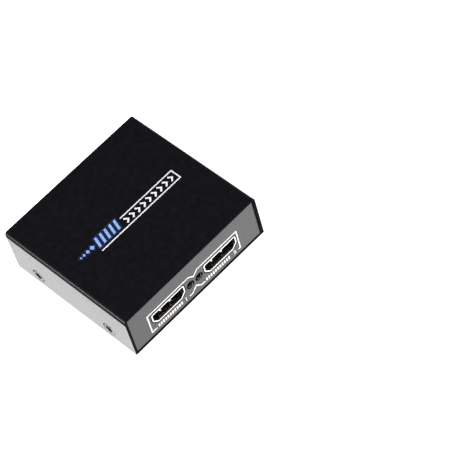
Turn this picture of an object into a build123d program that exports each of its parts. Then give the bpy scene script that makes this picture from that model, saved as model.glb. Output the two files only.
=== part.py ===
from build123d import *
import os

# A small video signal splitter: one input at the back, two outputs at the front, in a folded
# sheet-steel case. +Z is up, -Y is the front, and the origin is under the middle of the case,
# on the surface that its feet stand on. Lengths are in millimetres.

# Case
case_width = 60.0
case_depth = 57.0
case_height = 20.0
sheet = 1.0
bend_inside = 0.3
case_clearance = 0.2
cover_rise = 0.7
panel_recess = 0.6
panel_top_gap = 0.1
overrun = 1.0

# Side flanges of the tray, which the cover's screws go into
flange_height = 8.5
flange_root = 2.0
flange_end_gap = 1.5

# Countersunk side screws
side_screw_radius = 1.5
side_screw_head_radius = 2.5
side_screw_length = 4.0
side_screw_height = 5.3
side_screw_spacing = 34.0
side_screw_clearance = 0.05
side_screws_a_wall = 2
countersink_angle = 90
recess_radius = 1.3
recess_slot = 0.55
recess_depth = 0.7
recess_taper = 15

# Feet
foot_radius = 4.0
foot_height = 1.2
foot_inset = 8.0
foot_edge = 0.3

# Circuit board and what holds it
board_thickness = 1.6
board_end_gap = 0.4
board_side_gap = 0.5
board_corner = 1.0
standoff_height = 2.8
standoff_radius = 2.5
standoff_shank_radius = 2.1
board_screw_radius = 1.25
board_screw_head_radius = 2.4
board_screw_head_height = 1.6
board_screw_length = 3.2
board_hole_radius = 1.4
hole_edge = 4.0
part_gap = 0.3

# Video sockets, with the wide side of the mouth up
mouth_width = 14.0
mouth_height = 4.55
mouth_corner = 1.8
mouth_round = 0.4
shell_sheet = 0.35
shell_length = 11.6
shell_recess = 0.5
lip_flare = 0.12
lip_length = 0.4
lip_back_edge = 0.08
cutout_clearance = 0.4
finger_width = 1.0
finger_gap = 0.35
finger_spread = 2.3
finger_root = 6.5
finger_dip = 2.5
finger_tip = 1.5
finger_drop = 0.6
leg_width = 1.0
leg_front = 4.2
leg_back = 9.6
leg_stickout = 0.6
leg_slot_gap = 0.2
tongue_width = 11.2
tongue_thickness = 1.3
tongue_tip = 0.9
tongue_tip_edge = 0.25
tongue_rise = 0.15
block_front = 8.6
contacts_over = 10
contacts_under = 9
contact_pitch = 1.0
contact_width = 0.3
contact_sheet = 0.2
contact_tip = 1.6
contact_tail = 0.6
contact_foot = 0.8

# Lights, 3 mm round
light_radius = 1.5
light_length = 5.3
light_proud = 0.5
light_flange_radius = 1.8
light_flange = 1.0
light_clearance = 0.15
light_height = 2.5
light_partition = 0.4
holder_wall = 0.4
holder_depth = 5.0
holder_top_wall = 0.5
holder_corner = 0.3
light_leg = 0.5
light_leg_spread = 0.9
light_leg_run = 1.2
light_hole_gap = 0.15

# Power jack, for a 5.5 mm barrel plug on a 2 mm pin
jack_width = 9.0
jack_height = 11.0
jack_length = 13.0
jack_axis_height = 6.5
jack_nose_radius = 3.9
jack_nose_recess = 0.2
jack_nose_clearance = 0.25
jack_bore_radius = 3.1
jack_bore_depth = 10.5
jack_bore_edge = 0.3
jack_pin_radius = 1.0
jack_pin_tail_radius = 0.8
jack_pin_recess = 2.4
jack_pin_point = 0.4
jack_floor = 0.9
jack_channel_width = 3.2
jack_channel_front = 2.6
jack_channel_top = 2.0
jack_edge = 0.4
strip = 0.3
spring_width = 2.4
spring_level = 3.75
spring_pivot_depth = 12.4
spring_root_past_pivot = 0.15
spring_hump_front = 3.7
spring_hump_top = 4.9
spring_hump_back = 6.6
spring_tip = 3.0
spring_hump_rise = 1.15
terminal_gap = 0.15
terminal_width = 2.0
terminal_rise = 0.6
switch_front = 2.75
switch_width = 0.8
switch_gap = 0.15
leg_hole_gap = 0.2

# Rows of sockets and lights along the panels
front_row_shift = -0.5
holder_to_socket = 0.5
back_row_gap = 2.8

# Splitter chip, with its pad and heat sink
chip_side = 10.0
chip_thickness = 1.4
chip_lift = 0.1
chip_edge = 0.2
chip_pins_a_side = 16
chip_pitch = 0.5
chip_pin_width = 0.22
pin_sheet = 0.15
chip_pin_reach = 1.0
chip_pin_knee = 0.45
pad_side = 9.0
pad_thickness = 0.5
sink_side = 13.0
sink_base = 1.5
sink_height = 6.5
sink_fins = 6
sink_fin = 0.9

# Smaller parts on the board
control_width = 4.4
control_depth = 6.5
control_thickness = 1.0
control_pins_a_side = 10
control_pitch = 0.65
control_pin_width = 0.25
memory_width = 3.9
memory_depth = 4.9
memory_thickness = 1.4
memory_pins_a_side = 4
memory_pitch = 1.27
memory_pin_width = 0.42
regulator_width = 2.5
regulator_depth = 4.5
regulator_thickness = 1.5
regulator_pins = 3
regulator_pitch = 1.5
regulator_pin_width = 0.45
regulator_tab_width = 1.7
regulator_pin_reach = 0.95
regulator_pin_sheet = 0.2
crystal_base_length = 5.0
crystal_base_width = 3.2
crystal_base_height = 0.7
crystal_rim = 0.3
crystal_corner = 0.5
crystal_height = 0.4
crystal_edge = 0.15
inductor_side = 6.0
inductor_height = 3.0
inductor_corner = 1.2
inductor_drum_radius = 2.4
inductor_drum_gap = 0.15
inductor_waist_radius = 1.1
inductor_flange = 0.6
diode_length = 2.8
diode_width = 1.8
diode_height = 1.0
diode_end = 0.45
diode_end_width = 1.0
diode_end_height = 0.2
can_radius = 2.0
can_height = 5.4
can_edge = 0.4
can_groove = 0.2
can_groove_height = 1.1
can_base_side = 4.3
can_base_height = 0.8
can_base_corner = 0.7
small_length = 1.6
small_width = 0.8
resistor_height = 0.45
capacitor_height = 0.8
small_edge = 0.08
resistor_columns = 2
resistors_a_column = 4
resistor_column_pitch = 2.2
resistor_pitch = 1.4
capacitors_a_side = 4
capacitor_pitch = 2.8
surge_length = 2.5
surge_width = 1.0
surge_height = 0.5
surge_arrays_a_socket = 3
surge_pitch = 3.4

# Levels and places that follow from the sizes above
bend_outside = bend_inside + sheet
tray_floor = foot_height + sheet
case_top = foot_height + case_height
cover_ceiling = case_top - sheet
cover_wall_foot = foot_height + cover_rise
panel_top = cover_ceiling - panel_top_gap
tray_width = case_width - 2 * (sheet + case_clearance)
tray_depth = case_depth - 2 * panel_recess
front_face = -tray_depth / 2
back_face = tray_depth / 2
screw_level = foot_height + side_screw_height
board_underside = tray_floor + standoff_height
board_top = board_underside + board_thickness
board_width = case_width - 2 * (side_screw_length + board_side_gap)
board_depth = tray_depth - 2 * (sheet + board_end_gap)
mouth_level = board_top + shell_sheet + mouth_height / 2
light_level = board_top + light_height
jack_level = board_top + jack_axis_height
shell_width = mouth_width + 2 * shell_sheet
shell_below_mouth = mouth_height / 2 + shell_sheet
light_spacing = 2 * light_flange_radius + light_partition
single_holder_width = 2 * (light_flange_radius + holder_wall)
double_holder_width = light_spacing + single_holder_width
socket_spacing = shell_width + 2 * holder_to_socket + double_holder_width
output_1_x = front_row_shift - socket_spacing / 2
output_2_x = front_row_shift + socket_spacing / 2
light_1_x = front_row_shift - light_spacing / 2
light_2_x = front_row_shift + light_spacing / 2
back_row_width = jack_width + single_holder_width + shell_width + 2 * back_row_gap
jack_x = (jack_width - back_row_width) / 2
input_x = (back_row_width - shell_width) / 2
power_light_x = jack_x + jack_width / 2 + back_row_gap + single_holder_width / 2

# How far the rows at the front and back reach inwards from the panels' outer faces
jack_front = sheet + board_end_gap
jack_back = jack_front + jack_length
jack_row_depth = jack_back + strip
holder_row_depth = sheet + board_end_gap + holder_depth
surge_depth = shell_length + contact_tail + contact_foot + surge_width
socket_row_depth = surge_depth + surge_width / 2 + shell_recess
front_limit = front_face + socket_row_depth
back_limit = back_face - max(socket_row_depth, jack_row_depth)
middle_y = (front_limit + back_limit) / 2

# Places on the board, between the two rows, with the splitter chip in the middle
standoff_x = board_width / 2 - hole_edge
standoff_front_y = front_limit + part_gap + standoff_radius
standoff_back_y = back_limit - part_gap - standoff_radius
left_column_x = -(sink_side / 2 + standoff_x - inductor_side / 2) / 2
right_column_x = (sink_side / 2 + standoff_x - standoff_radius) / 2
memory_front_y = front_limit + part_gap + memory_depth / 2
memory_back_y = back_limit - part_gap - memory_depth / 2
regulator_back_y = back_limit - part_gap - regulator_depth / 2
regulator_front_y = regulator_back_y - regulator_depth - part_gap
diode_y = memory_front_y + (memory_depth + diode_width) / 2 + part_gap
splitter_place = (0, middle_y)
control_place = (right_column_x, middle_y)
memory_places = [
    (left_column_x, memory_front_y),
    (right_column_x, memory_front_y),
    (right_column_x, memory_back_y),
]
regulator_places = [(left_column_x, regulator_front_y), (left_column_x, regulator_back_y)]
crystal_place = (standoff_x, middle_y)
inductor_place = (-standoff_x, middle_y)
diode_place = (left_column_x, diode_y)

# Places between the sockets, behind the light holders
from_socket = shell_width / 2 + part_gap
behind_holder = holder_row_depth + part_gap
can_half = can_base_side / 2
can_places = [
    (output_1_x + from_socket + can_half, front_face + behind_holder + can_half),
    (jack_x + jack_width / 2 + part_gap + can_half, back_face - behind_holder - can_half),
    (input_x - from_socket - can_half, back_face - behind_holder - can_half),
]
resistor_field_width = (resistor_columns - 1) * resistor_column_pitch + small_length
resistor_field_depth = (resistors_a_column - 1) * resistor_pitch + small_width
resistor_x = output_2_x - from_socket - resistor_field_width / 2
resistor_y = front_face + behind_holder + resistor_field_depth / 2


def front_plane(x, z, proud=0):
    """Plane that faces the front, at a place on the front panel's outer face."""
    return Plane(origin=(x, front_face - proud, z), x_dir=(1, 0, 0), z_dir=(0, -1, 0))


def back_plane(x, z, proud=0):
    """Plane that faces the back, at a place on the back panel's outer face."""
    return Plane(origin=(x, back_face + proud, z), x_dir=(-1, 0, 0), z_dir=(0, 1, 0))


def edge_on(face, across):
    """Upright plane square to a face, with x running inwards and y running up."""
    return Plane(origin=face.origin + face.x_dir * across, x_dir=-face.z_dir, z_dir=face.x_dir)


def board_plane(place, turn=0):
    """Plane on the board's top at a place, turned about +Z."""
    return Plane(origin=(*place, board_top)).rotated((0, 0, turn))


def pin_plane(base, out, along):
    """Upright plane at a chip's side, with x running outwards and y running up."""
    origin = base.origin + base.x_dir * out + base.y_dir * along
    return Plane(origin=origin, x_dir=base.x_dir, z_dir=-base.y_dir)


def row_places(count, pitch):
    """Evenly spaced places about zero."""
    return [(index - (count - 1) / 2) * pitch for index in range(count)]


def bent_strip(points, thickness):
    """Fills a strip that follows square bends, in the sketch that is open."""
    for start, end in zip(points, points[1:]):
        with Locations(((start[0] + end[0]) / 2, (start[1] + end[1]) / 2)):
            Rectangle(abs(end[0] - start[0]) + thickness, abs(end[1] - start[1]) + thickness)


def mouth_outline(grown=0):
    """Outline of a video socket's mouth, wide side up, grown by a margin all round."""
    half_width = mouth_width / 2
    half_height = mouth_height / 2
    with BuildSketch() as outline:
        Polygon(
            (-half_width, half_height),
            (-half_width, mouth_corner - half_height),
            (mouth_corner - half_width, -half_height),
            (half_width - mouth_corner, -half_height),
            (half_width, mouth_corner - half_height),
            (half_width, half_height),
            align=None,
        )
        fillet(outline.vertices(), radius=mouth_round)
        if grown:
            offset(amount=grown)
    return outline.sketch


def save(name, piece):
    """Labels a piece and writes it to its own file."""
    piece.label = name
    export_step(piece, f"parts/{name}.step")


os.makedirs("parts", exist_ok=True)

output_1_mouth = front_plane(output_1_x, mouth_level, -shell_recess)
output_2_mouth = front_plane(output_2_x, mouth_level, -shell_recess)
input_mouth = back_plane(input_x, mouth_level, -shell_recess)
light_1_face = front_plane(light_1_x, light_level, light_proud)
light_2_face = front_plane(light_2_x, light_level, light_proud)
power_light_face = back_plane(power_light_x, light_level, light_proud)
jack_face = back_plane(jack_x, jack_level)
left_wall = Plane(origin=(-case_width / 2, 0, screw_level), x_dir=(0, -1, 0), z_dir=(-1, 0, 0))
right_wall = Plane(origin=(case_width / 2, 0, screw_level), x_dir=(0, 1, 0), z_dir=(1, 0, 0))
screw_places = [(place, 0) for place in row_places(side_screws_a_wall, side_screw_spacing)]

# Top cover: the top with its left and right walls, folded from one sheet
cover_wall_height = case_top - cover_wall_foot
with BuildPart() as top_cover:
    with BuildSketch(Plane.XZ) as cover_section:
        with Locations((0, case_top)):
            Rectangle(case_width, cover_wall_height, align=(Align.CENTER, Align.MAX))
        fillet(cover_section.vertices().group_by(Axis.Y)[-1], radius=bend_outside)
        with BuildSketch(mode=Mode.SUBTRACT) as cover_inside:
            with Locations((0, cover_ceiling)):
                Rectangle(
                    case_width - 2 * sheet,
                    cover_wall_height - sheet,
                    align=(Align.CENTER, Align.MAX),
                )
            fillet(cover_inside.vertices().group_by(Axis.Y)[-1], radius=bend_inside)
    extrude(amount=case_depth / 2, both=True)
    for wall in (left_wall, right_wall):
        with Locations(wall):
            with Locations(*screw_places):
                CounterSinkHole(
                    radius=side_screw_radius + side_screw_clearance,
                    counter_sink_radius=side_screw_head_radius + side_screw_clearance,
                    depth=sheet + overrun,
                    counter_sink_angle=countersink_angle,
                )
save("top_cover", top_cover.part)

# Base tray: the floor with the front and back panels and two low side flanges, from one sheet
flange_length = tray_depth - 2 * (sheet + flange_end_gap)
tray_edge = tray_width / 2
standoff_places = [
    (side * standoff_x, y) for side in (-1, 1) for y in (standoff_front_y, standoff_back_y)
]
with BuildPart() as base_tray:
    with BuildSketch(Plane.YZ) as tray_section:
        with Locations((0, foot_height)):
            Rectangle(tray_depth, panel_top - foot_height, align=(Align.CENTER, Align.MIN))
        fillet(tray_section.vertices().group_by(Axis.Y)[0], radius=bend_outside)
        with BuildSketch(mode=Mode.SUBTRACT) as tray_inside:
            with Locations((0, tray_floor)):
                Rectangle(
                    tray_depth - 2 * sheet,
                    panel_top - tray_floor,
                    align=(Align.CENTER, Align.MIN),
                )
            fillet(tray_inside.vertices().group_by(Axis.Y)[0], radius=bend_inside)
    extrude(amount=tray_edge, both=True)
    # The panels' top corners clear the insides of the cover's bends
    fillet(base_tray.edges().filter_by(Axis.Y).group_by(Axis.Z)[-1], radius=bend_inside)
    # Reliefs at the corners let the flanges fold up clear of the panels
    with BuildSketch(Plane.XY.offset(foot_height)):
        with Locations((-tray_edge, 0), (tray_edge, 0)):
            Rectangle(2 * flange_root, tray_depth - 2 * bend_outside)
    extrude(amount=sheet, mode=Mode.SUBTRACT)
    with BuildSketch(Plane.XZ) as flange_section:
        with Locations((0, foot_height)):
            Rectangle(tray_width, flange_height, align=(Align.CENTER, Align.MIN))
        fillet(flange_section.vertices().group_by(Axis.Y)[0], radius=bend_outside)
        with BuildSketch(mode=Mode.SUBTRACT) as flange_inside:
            with Locations((0, tray_floor)):
                Rectangle(
                    tray_width - 2 * sheet,
                    flange_height - sheet,
                    align=(Align.CENTER, Align.MIN),
                )
            fillet(flange_inside.vertices().group_by(Axis.Y)[0], radius=bend_inside)
    extrude(amount=flange_length / 2, both=True)
    for wall in (left_wall, right_wall):
        with Locations(wall.offset(-sheet - case_clearance)):
            with Locations(*screw_places):
                Hole(radius=side_screw_radius, depth=sheet + overrun)
    for mouth in (output_1_mouth, output_2_mouth, input_mouth):
        with BuildSketch(mouth):
            add(mouth_outline(shell_sheet + lip_flare + cutout_clearance))
        extrude(amount=sheet + overrun, both=True, mode=Mode.SUBTRACT)
    for face in (light_1_face, light_2_face, power_light_face):
        with BuildSketch(face):
            Circle(light_radius + light_clearance)
        extrude(amount=-light_proud - sheet - overrun, mode=Mode.SUBTRACT)
    with BuildSketch(jack_face):
        Circle(jack_nose_radius + jack_nose_clearance)
    extrude(amount=-sheet - overrun, mode=Mode.SUBTRACT)
    with BuildSketch(Plane.XY.offset(foot_height)):
        with Locations(*standoff_places):
            Circle(standoff_shank_radius)
    extrude(amount=sheet, mode=Mode.SUBTRACT)
save("base_tray", base_tray.part)

# Side screws: countersunk heads with a cross recess, flush in the cover's walls
with BuildPart() as side_screws:
    for wall in (left_wall, right_wall):
        for place, level in screw_places:
            screw_face = Plane(wall.origin + wall.x_dir * place, wall.x_dir, wall.z_dir)
            with BuildSketch(edge_on(screw_face, level)):
                with BuildLine():
                    Polyline(
                        (0, 0),
                        (0, side_screw_head_radius),
                        (side_screw_head_radius - side_screw_radius, side_screw_radius),
                        (side_screw_length, side_screw_radius),
                        (side_screw_length, 0),
                        close=True,
                    )
                make_face()
            revolve(axis=Axis(screw_face.origin, screw_face.z_dir))
            with BuildSketch(screw_face):
                Rectangle(2 * recess_radius, recess_slot)
                Rectangle(recess_slot, 2 * recess_radius)
            extrude(amount=-recess_depth, taper=recess_taper, mode=Mode.SUBTRACT)
save("side_screws", side_screws.part)

# Rubber feet
with BuildPart() as rubber_feet:
    with BuildSketch():
        with GridLocations(case_width - 2 * foot_inset, case_depth - 2 * foot_inset, 2, 2):
            Circle(foot_radius)
    extrude(amount=foot_height)
    chamfer(rubber_feet.edges().group_by(Axis.Z)[0], length=foot_edge)
save("rubber_feet", rubber_feet.part)

# Board standoffs: each has a shank pressed through the floor, flush with its underside
with BuildPart() as board_standoffs:
    with BuildSketch(Plane.XY.offset(foot_height)):
        with Locations(*standoff_places):
            Circle(standoff_shank_radius)
    extrude(amount=sheet)
    with BuildSketch(Plane.XY.offset(tray_floor)):
        with Locations(*standoff_places):
            Circle(standoff_radius)
    extrude(amount=standoff_height)
    with Locations(Plane.XY.offset(board_underside)):
        with Locations(*standoff_places):
            Hole(radius=board_screw_radius, depth=standoff_height + sheet)
save("board_standoffs", board_standoffs.part)

# Board screws: pan heads with a cross recess
with BuildPart() as board_screws:
    with BuildSketch(Plane.XY.offset(board_top)):
        with Locations(*standoff_places):
            Circle(board_screw_head_radius)
    extrude(amount=board_screw_head_height)
    fillet(board_screws.edges().group_by(Axis.Z)[-1], radius=board_screw_head_height / 2)
    with BuildSketch(Plane.XY.offset(board_top)):
        with Locations(*standoff_places):
            Circle(board_screw_radius)
    extrude(amount=-board_screw_length)
    with BuildSketch(Plane.XY.offset(board_top + board_screw_head_height)):
        with Locations(*standoff_places):
            Rectangle(2 * recess_radius, recess_slot)
            Rectangle(recess_slot, 2 * recess_radius)
    extrude(amount=-recess_depth, mode=Mode.SUBTRACT)
save("board_screws", board_screws.part)


def socket_shell(mouth):
    """Steel shell of a video socket: a sleeve with a lip, spring fingers and board legs."""
    half_height = mouth_height / 2
    finger_center = (finger_root + finger_tip) / 2
    finger_reach = finger_root - finger_tip
    leg_length = shell_below_mouth + board_thickness + leg_stickout
    with BuildPart(mouth) as shell:
        with BuildSketch(mouth):
            add(mouth_outline(shell_sheet + lip_flare))
        extrude(amount=-lip_length)
        lip_back = shell.faces().sort_by(Axis(mouth.origin, mouth.z_dir))[0]
        chamfer(lip_back.edges(), length=lip_back_edge)
        with BuildSketch(mouth):
            add(mouth_outline(shell_sheet))
        extrude(amount=-shell_length)
        with BuildSketch(mouth):
            add(mouth_outline())
        extrude(amount=-shell_length, mode=Mode.SUBTRACT)
        # Windows in the top and bottom walls, with a finger left in each
        for side in (-1, 1):
            for across in (-finger_spread, finger_spread):
                with Locations((across, side * (half_height + shell_sheet / 2), -finger_center)):
                    Box(
                        finger_width + 2 * finger_gap,
                        2 * shell_sheet,
                        finger_reach,
                        mode=Mode.SUBTRACT,
                    )
                outer = side * (half_height + shell_sheet)
                inner = side * half_height
                dip = side * (half_height - finger_drop)
                dip_outer = side * (half_height - finger_drop + shell_sheet)
                with BuildSketch(edge_on(mouth, across)):
                    with BuildLine():
                        Polyline(
                            (finger_root, outer),
                            (finger_root, inner),
                            (finger_dip, dip),
                            (finger_tip + finger_gap, inner),
                            (finger_tip + finger_gap, outer),
                            (finger_dip, dip_outer),
                            close=True,
                        )
                    make_face()
                extrude(amount=finger_width / 2, both=True)
        for across in (-1, 1):
            for depth in (leg_front, leg_back):
                with Locations((across * (shell_width - shell_sheet) / 2, 0, -depth)):
                    Box(
                        shell_sheet,
                        leg_length,
                        leg_width,
                        align=(Align.CENTER, Align.MAX, Align.CENTER),
                    )
    return shell.part


def socket_contacts(mouth):
    """Contacts of a video socket, in one row over the tongue and one under it."""
    foot_level = contact_sheet / 2 - shell_below_mouth
    tail = shell_length + contact_tail
    level_step = (tongue_thickness - contact_sheet) / 2
    rows = [
        (row_places(contacts_over, contact_pitch), tongue_rise + level_step),
        (row_places(contacts_under, contact_pitch), tongue_rise - level_step),
    ]
    with BuildPart() as contacts:
        for places, level in rows:
            with BuildSketch(*[edge_on(mouth, place) for place in places]):
                bent_strip(
                    [
                        (contact_tip, level),
                        (tail, level),
                        (tail, foot_level),
                        (tail + contact_foot, foot_level),
                    ],
                    contact_sheet,
                )
            extrude(amount=contact_width / 2, both=True)
    return contacts.part


def socket_insulator(mouth, contacts):
    """Moulded block that closes a video socket's shell, with the tongue that plugs go over."""
    tongue_length = block_front - tongue_tip
    with BuildPart() as insulator:
        with Locations(mouth):
            with Locations((0, tongue_rise, -tongue_tip)):
                Box(
                    tongue_width,
                    tongue_thickness,
                    tongue_length,
                    align=(Align.CENTER, Align.CENTER, Align.MAX),
                )
        tip_face = insulator.faces().sort_by(Axis(mouth.origin, mouth.z_dir))[-1]
        chamfer(tip_face.edges(), length=tongue_tip_edge)
        with BuildSketch(mouth.offset(-block_front)):
            add(mouth_outline())
        extrude(amount=block_front - shell_length)
        add(contacts, mode=Mode.SUBTRACT)
    return insulator.part


sockets = {"output_1": output_1_mouth, "output_2": output_2_mouth, "input": input_mouth}
for socket_name, socket_mouth in sockets.items():
    contacts_part = socket_contacts(socket_mouth)
    save(f"{socket_name}_shell", socket_shell(socket_mouth))
    save(f"{socket_name}_contacts", contacts_part)
    save(f"{socket_name}_insulator", socket_insulator(socket_mouth, contacts_part))


def round_light(face):
    """A 3 mm round light: a domed lens with a flange at its back."""
    flange_start = light_length - light_flange
    with BuildPart() as light:
        with BuildSketch(edge_on(face, 0)):
            with BuildLine():
                CenterArc((light_radius, 0), light_radius, 90, 90)
                Polyline(
                    (light_radius, light_radius),
                    (flange_start, light_radius),
                    (flange_start, light_flange_radius),
                    (light_length, light_flange_radius),
                    (light_length, 0),
                    (0, 0),
                )
            make_face()
        revolve(axis=Axis(face.origin, face.z_dir))
    return light.part


def light_holder(row_face, width, light_places):
    """Black block on the board that holds the lights level with their holes."""
    front = light_proud + sheet + board_end_gap
    flange_start = light_length - light_flange
    top = light_flange_radius + holder_top_wall
    with BuildPart(row_face) as holder:
        with Locations((0, top, -front)):
            Box(
                width,
                top + light_height,
                holder_depth,
                align=(Align.CENTER, Align.MAX, Align.MAX),
            )
        upright_edges = holder.edges().filter_by(Axis(row_face.origin, row_face.z_dir))
        chamfer(upright_edges.group_by(Axis.Z)[-1], length=holder_corner)
        with BuildSketch(row_face):
            with Locations(*[(place, 0) for place in light_places]):
                Circle(light_radius)
        extrude(amount=-front - holder_depth, mode=Mode.SUBTRACT)
        with BuildSketch(row_face.offset(-flange_start)):
            with Locations(*[(place, 0) for place in light_places]):
                Circle(light_flange_radius)
        extrude(amount=flange_start - front - holder_depth, mode=Mode.SUBTRACT)
        # The lights' legs come down through a slot that is open at the back
        slot_depth = front + holder_depth - light_length
        with Locations(*[(place, 0, -light_length) for place in light_places]):
            Box(
                2 * light_flange_radius,
                light_height,
                slot_depth,
                align=(Align.CENTER, Align.MAX, Align.MAX),
                mode=Mode.SUBTRACT,
            )
    return holder.part


light_faces = {
    "output_1_light": light_1_face,
    "output_2_light": light_2_face,
    "power_light": power_light_face,
}
for light_name, light_face in light_faces.items():
    save(light_name, round_light(light_face))

front_row_face = front_plane(front_row_shift, light_level, light_proud)
front_light_places = row_places(2, light_spacing)
front_light_holder = light_holder(front_row_face, double_holder_width, front_light_places)
save("front_light_holder", front_light_holder)
save("power_light_holder", light_holder(power_light_face, single_holder_width, [0]))

# Legs of the lights: two each, bent down through the board
light_leg_end = light_length + light_leg_run
light_leg_foot = -light_height - board_thickness - leg_stickout
light_leg_planes = [
    edge_on(light_face, side * light_leg_spread)
    for light_face in light_faces.values()
    for side in (-1, 1)
]
with BuildPart() as light_legs:
    with BuildSketch(*light_leg_planes):
        bent_strip(
            [
                (light_length + light_leg / 2, 0),
                (light_leg_end, 0),
                (light_leg_end, light_leg_foot),
            ],
            light_leg,
        )
    extrude(amount=light_leg / 2, both=True)
save("light_legs", light_legs.part)

# Power jack. Its depths are measured inwards from the back panel's outer face.
jack_side = edge_on(jack_face, 0)
jack_leg_foot = -jack_axis_height - board_thickness - leg_stickout
spring_top = strip / 2 - spring_level

# Switch contact: a fixed strip over the spring's tip, bent out through the side to the board
switch_level = spring_top + switch_gap + strip / 2
switch_depth = switch_front + switch_width / 2
switch_leg_x = (jack_width + strip) / 2
with BuildPart() as power_jack_switch_contact:
    with BuildSketch(jack_face.offset(-switch_depth)):
        bent_strip(
            [
                (-spring_width / 2, switch_level),
                (switch_leg_x, switch_level),
                (switch_leg_x, jack_leg_foot),
            ],
            strip,
        )
    extrude(amount=switch_width / 2, both=True)
save("power_jack_switch_contact", power_jack_switch_contact.part)

# Spring terminal: a fixed strip behind the spring's root, down through the board
terminal_depth = spring_pivot_depth + spring_root_past_pivot + terminal_gap + strip / 2
with BuildPart() as power_jack_spring_terminal:
    with BuildSketch(jack_side):
        bent_strip(
            [(terminal_depth, terminal_rise - spring_level), (terminal_depth, jack_leg_foot)],
            strip,
        )
    extrude(amount=terminal_width / 2, both=True)
save("power_jack_spring_terminal", power_jack_spring_terminal.part)

# Centre pin, with a leg behind the housing
with BuildPart() as power_jack_pin:
    with BuildSketch(jack_face.offset(-jack_pin_recess)):
        Circle(jack_pin_radius)
    extrude(amount=jack_pin_recess - jack_bore_depth)
    with BuildSketch(jack_face.offset(-jack_bore_depth)):
        Circle(jack_pin_tail_radius)
    extrude(amount=jack_bore_depth - jack_back)
    pin_end = power_jack_pin.faces().sort_by(Axis.Y)[-1]
    chamfer(pin_end.edges(), length=jack_pin_point)
    with BuildSketch(jack_side):
        bent_strip([(jack_back + strip / 2, 0), (jack_back + strip / 2, jack_leg_foot)], strip)
    extrude(amount=terminal_width / 2, both=True)
save("power_jack_pin", power_jack_pin.part)

# Housing: a moulded block with a round nose in the panel's hole and a channel for the spring
channel_floor = jack_floor - jack_axis_height
with BuildPart() as power_jack_housing:
    with Locations(jack_face):
        with Locations((0, -jack_axis_height, -jack_front)):
            Box(
                jack_width,
                jack_height,
                jack_length,
                align=(Align.CENTER, Align.MIN, Align.MAX),
            )
    long_edges = power_jack_housing.edges().filter_by(Axis.Y)
    chamfer(long_edges.group_by(Axis.Z)[-1], length=jack_edge)
    with BuildSketch(jack_face.offset(-jack_nose_recess)):
        Circle(jack_nose_radius)
    extrude(amount=jack_nose_recess - jack_front)
    with BuildSketch(jack_face.offset(-jack_nose_recess)):
        Circle(jack_bore_radius)
    extrude(amount=jack_nose_recess - jack_bore_depth, mode=Mode.SUBTRACT)
    mouth_edges = power_jack_housing.faces().sort_by(Axis.Y)[-1].inner_wires()[0].edges()
    chamfer(mouth_edges, length=jack_bore_edge)
    with BuildSketch(jack_face.offset(-jack_bore_depth)):
        Circle(jack_pin_tail_radius)
    extrude(amount=jack_bore_depth - jack_back, mode=Mode.SUBTRACT)
    with Locations(jack_face):
        with Locations((0, -jack_channel_top, -jack_channel_front)):
            Box(
                jack_channel_width,
                -jack_channel_top - channel_floor,
                jack_back - jack_channel_front,
                align=(Align.CENTER, Align.MAX, Align.MAX),
                mode=Mode.SUBTRACT,
            )
    add(power_jack_switch_contact.part, mode=Mode.SUBTRACT)
    add(power_jack_spring_terminal.part, mode=Mode.SUBTRACT)
save("power_jack_housing", power_jack_housing.part)

# Sleeve spring: a leaf under the bore whose hump a plug pushes down about its root
with BuildPart() as power_jack_spring:
    hump_level = spring_hump_rise - spring_level
    spring_root = spring_pivot_depth + spring_root_past_pivot
    with BuildSketch(jack_side):
        with BuildLine():
            Polyline(
                (spring_root, strip / 2 - spring_level),
                (spring_hump_back, strip / 2 - spring_level),
                (spring_hump_top, hump_level + strip / 2),
                (spring_hump_front, strip / 2 - spring_level),
                (spring_tip, strip / 2 - spring_level),
                (spring_tip, -strip / 2 - spring_level),
                (spring_hump_front, -strip / 2 - spring_level),
                (spring_hump_top, hump_level - strip / 2),
                (spring_hump_back, -strip / 2 - spring_level),
                (spring_root, -strip / 2 - spring_level),
                close=True,
            )
        make_face()
    extrude(amount=spring_width / 2, both=True)
save("power_jack_spring", power_jack_spring.part)

# Circuit board, with holes for the screws and for every leg that goes through it
leg_hole = strip + 2 * leg_hole_gap
light_hole = light_leg + 2 * light_hole_gap
with BuildPart() as circuit_board:
    with BuildSketch(Plane.XY.offset(board_underside)):
        RectangleRounded(board_width, board_depth, board_corner)
        with Locations(*standoff_places):
            Circle(board_hole_radius, mode=Mode.SUBTRACT)
        for mouth in sockets.values():
            for side in (-1, 1):
                for depth in (leg_front, leg_back):
                    place = mouth.from_local_coords(
                        (side * (shell_width - shell_sheet) / 2, 0, -depth)
                    )
                    with Locations((place.X, place.Y)):
                        Rectangle(
                            shell_sheet + 2 * leg_slot_gap,
                            leg_width + 2 * leg_slot_gap,
                            mode=Mode.SUBTRACT,
                        )
        for plane in light_leg_planes:
            place = plane.from_local_coords((light_leg_end, 0, 0))
            with Locations((place.X, place.Y)):
                Rectangle(light_hole, light_hole, mode=Mode.SUBTRACT)
        for depth in (terminal_depth, jack_back + strip / 2):
            with Locations((jack_x, back_face - depth)):
                Rectangle(terminal_width + 2 * leg_hole_gap, leg_hole, mode=Mode.SUBTRACT)
        with Locations((jack_x - switch_leg_x, back_face - switch_depth)):
            Rectangle(leg_hole, switch_width + 2 * leg_hole_gap, mode=Mode.SUBTRACT)
    extrude(amount=board_thickness)
save("circuit_board", circuit_board.part)


def chip_body(bases, width, depth, thickness):
    """Moulded chip bodies that stand just off the board, one at each base plane."""
    with BuildPart() as body:
        with BuildSketch(*[base.offset(chip_lift) for base in bases]):
            Rectangle(width, depth)
        extrude(amount=thickness)
        chamfer(body.edges().group_by(Axis.Z)[-1], length=chip_edge)
    return body.part


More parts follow.
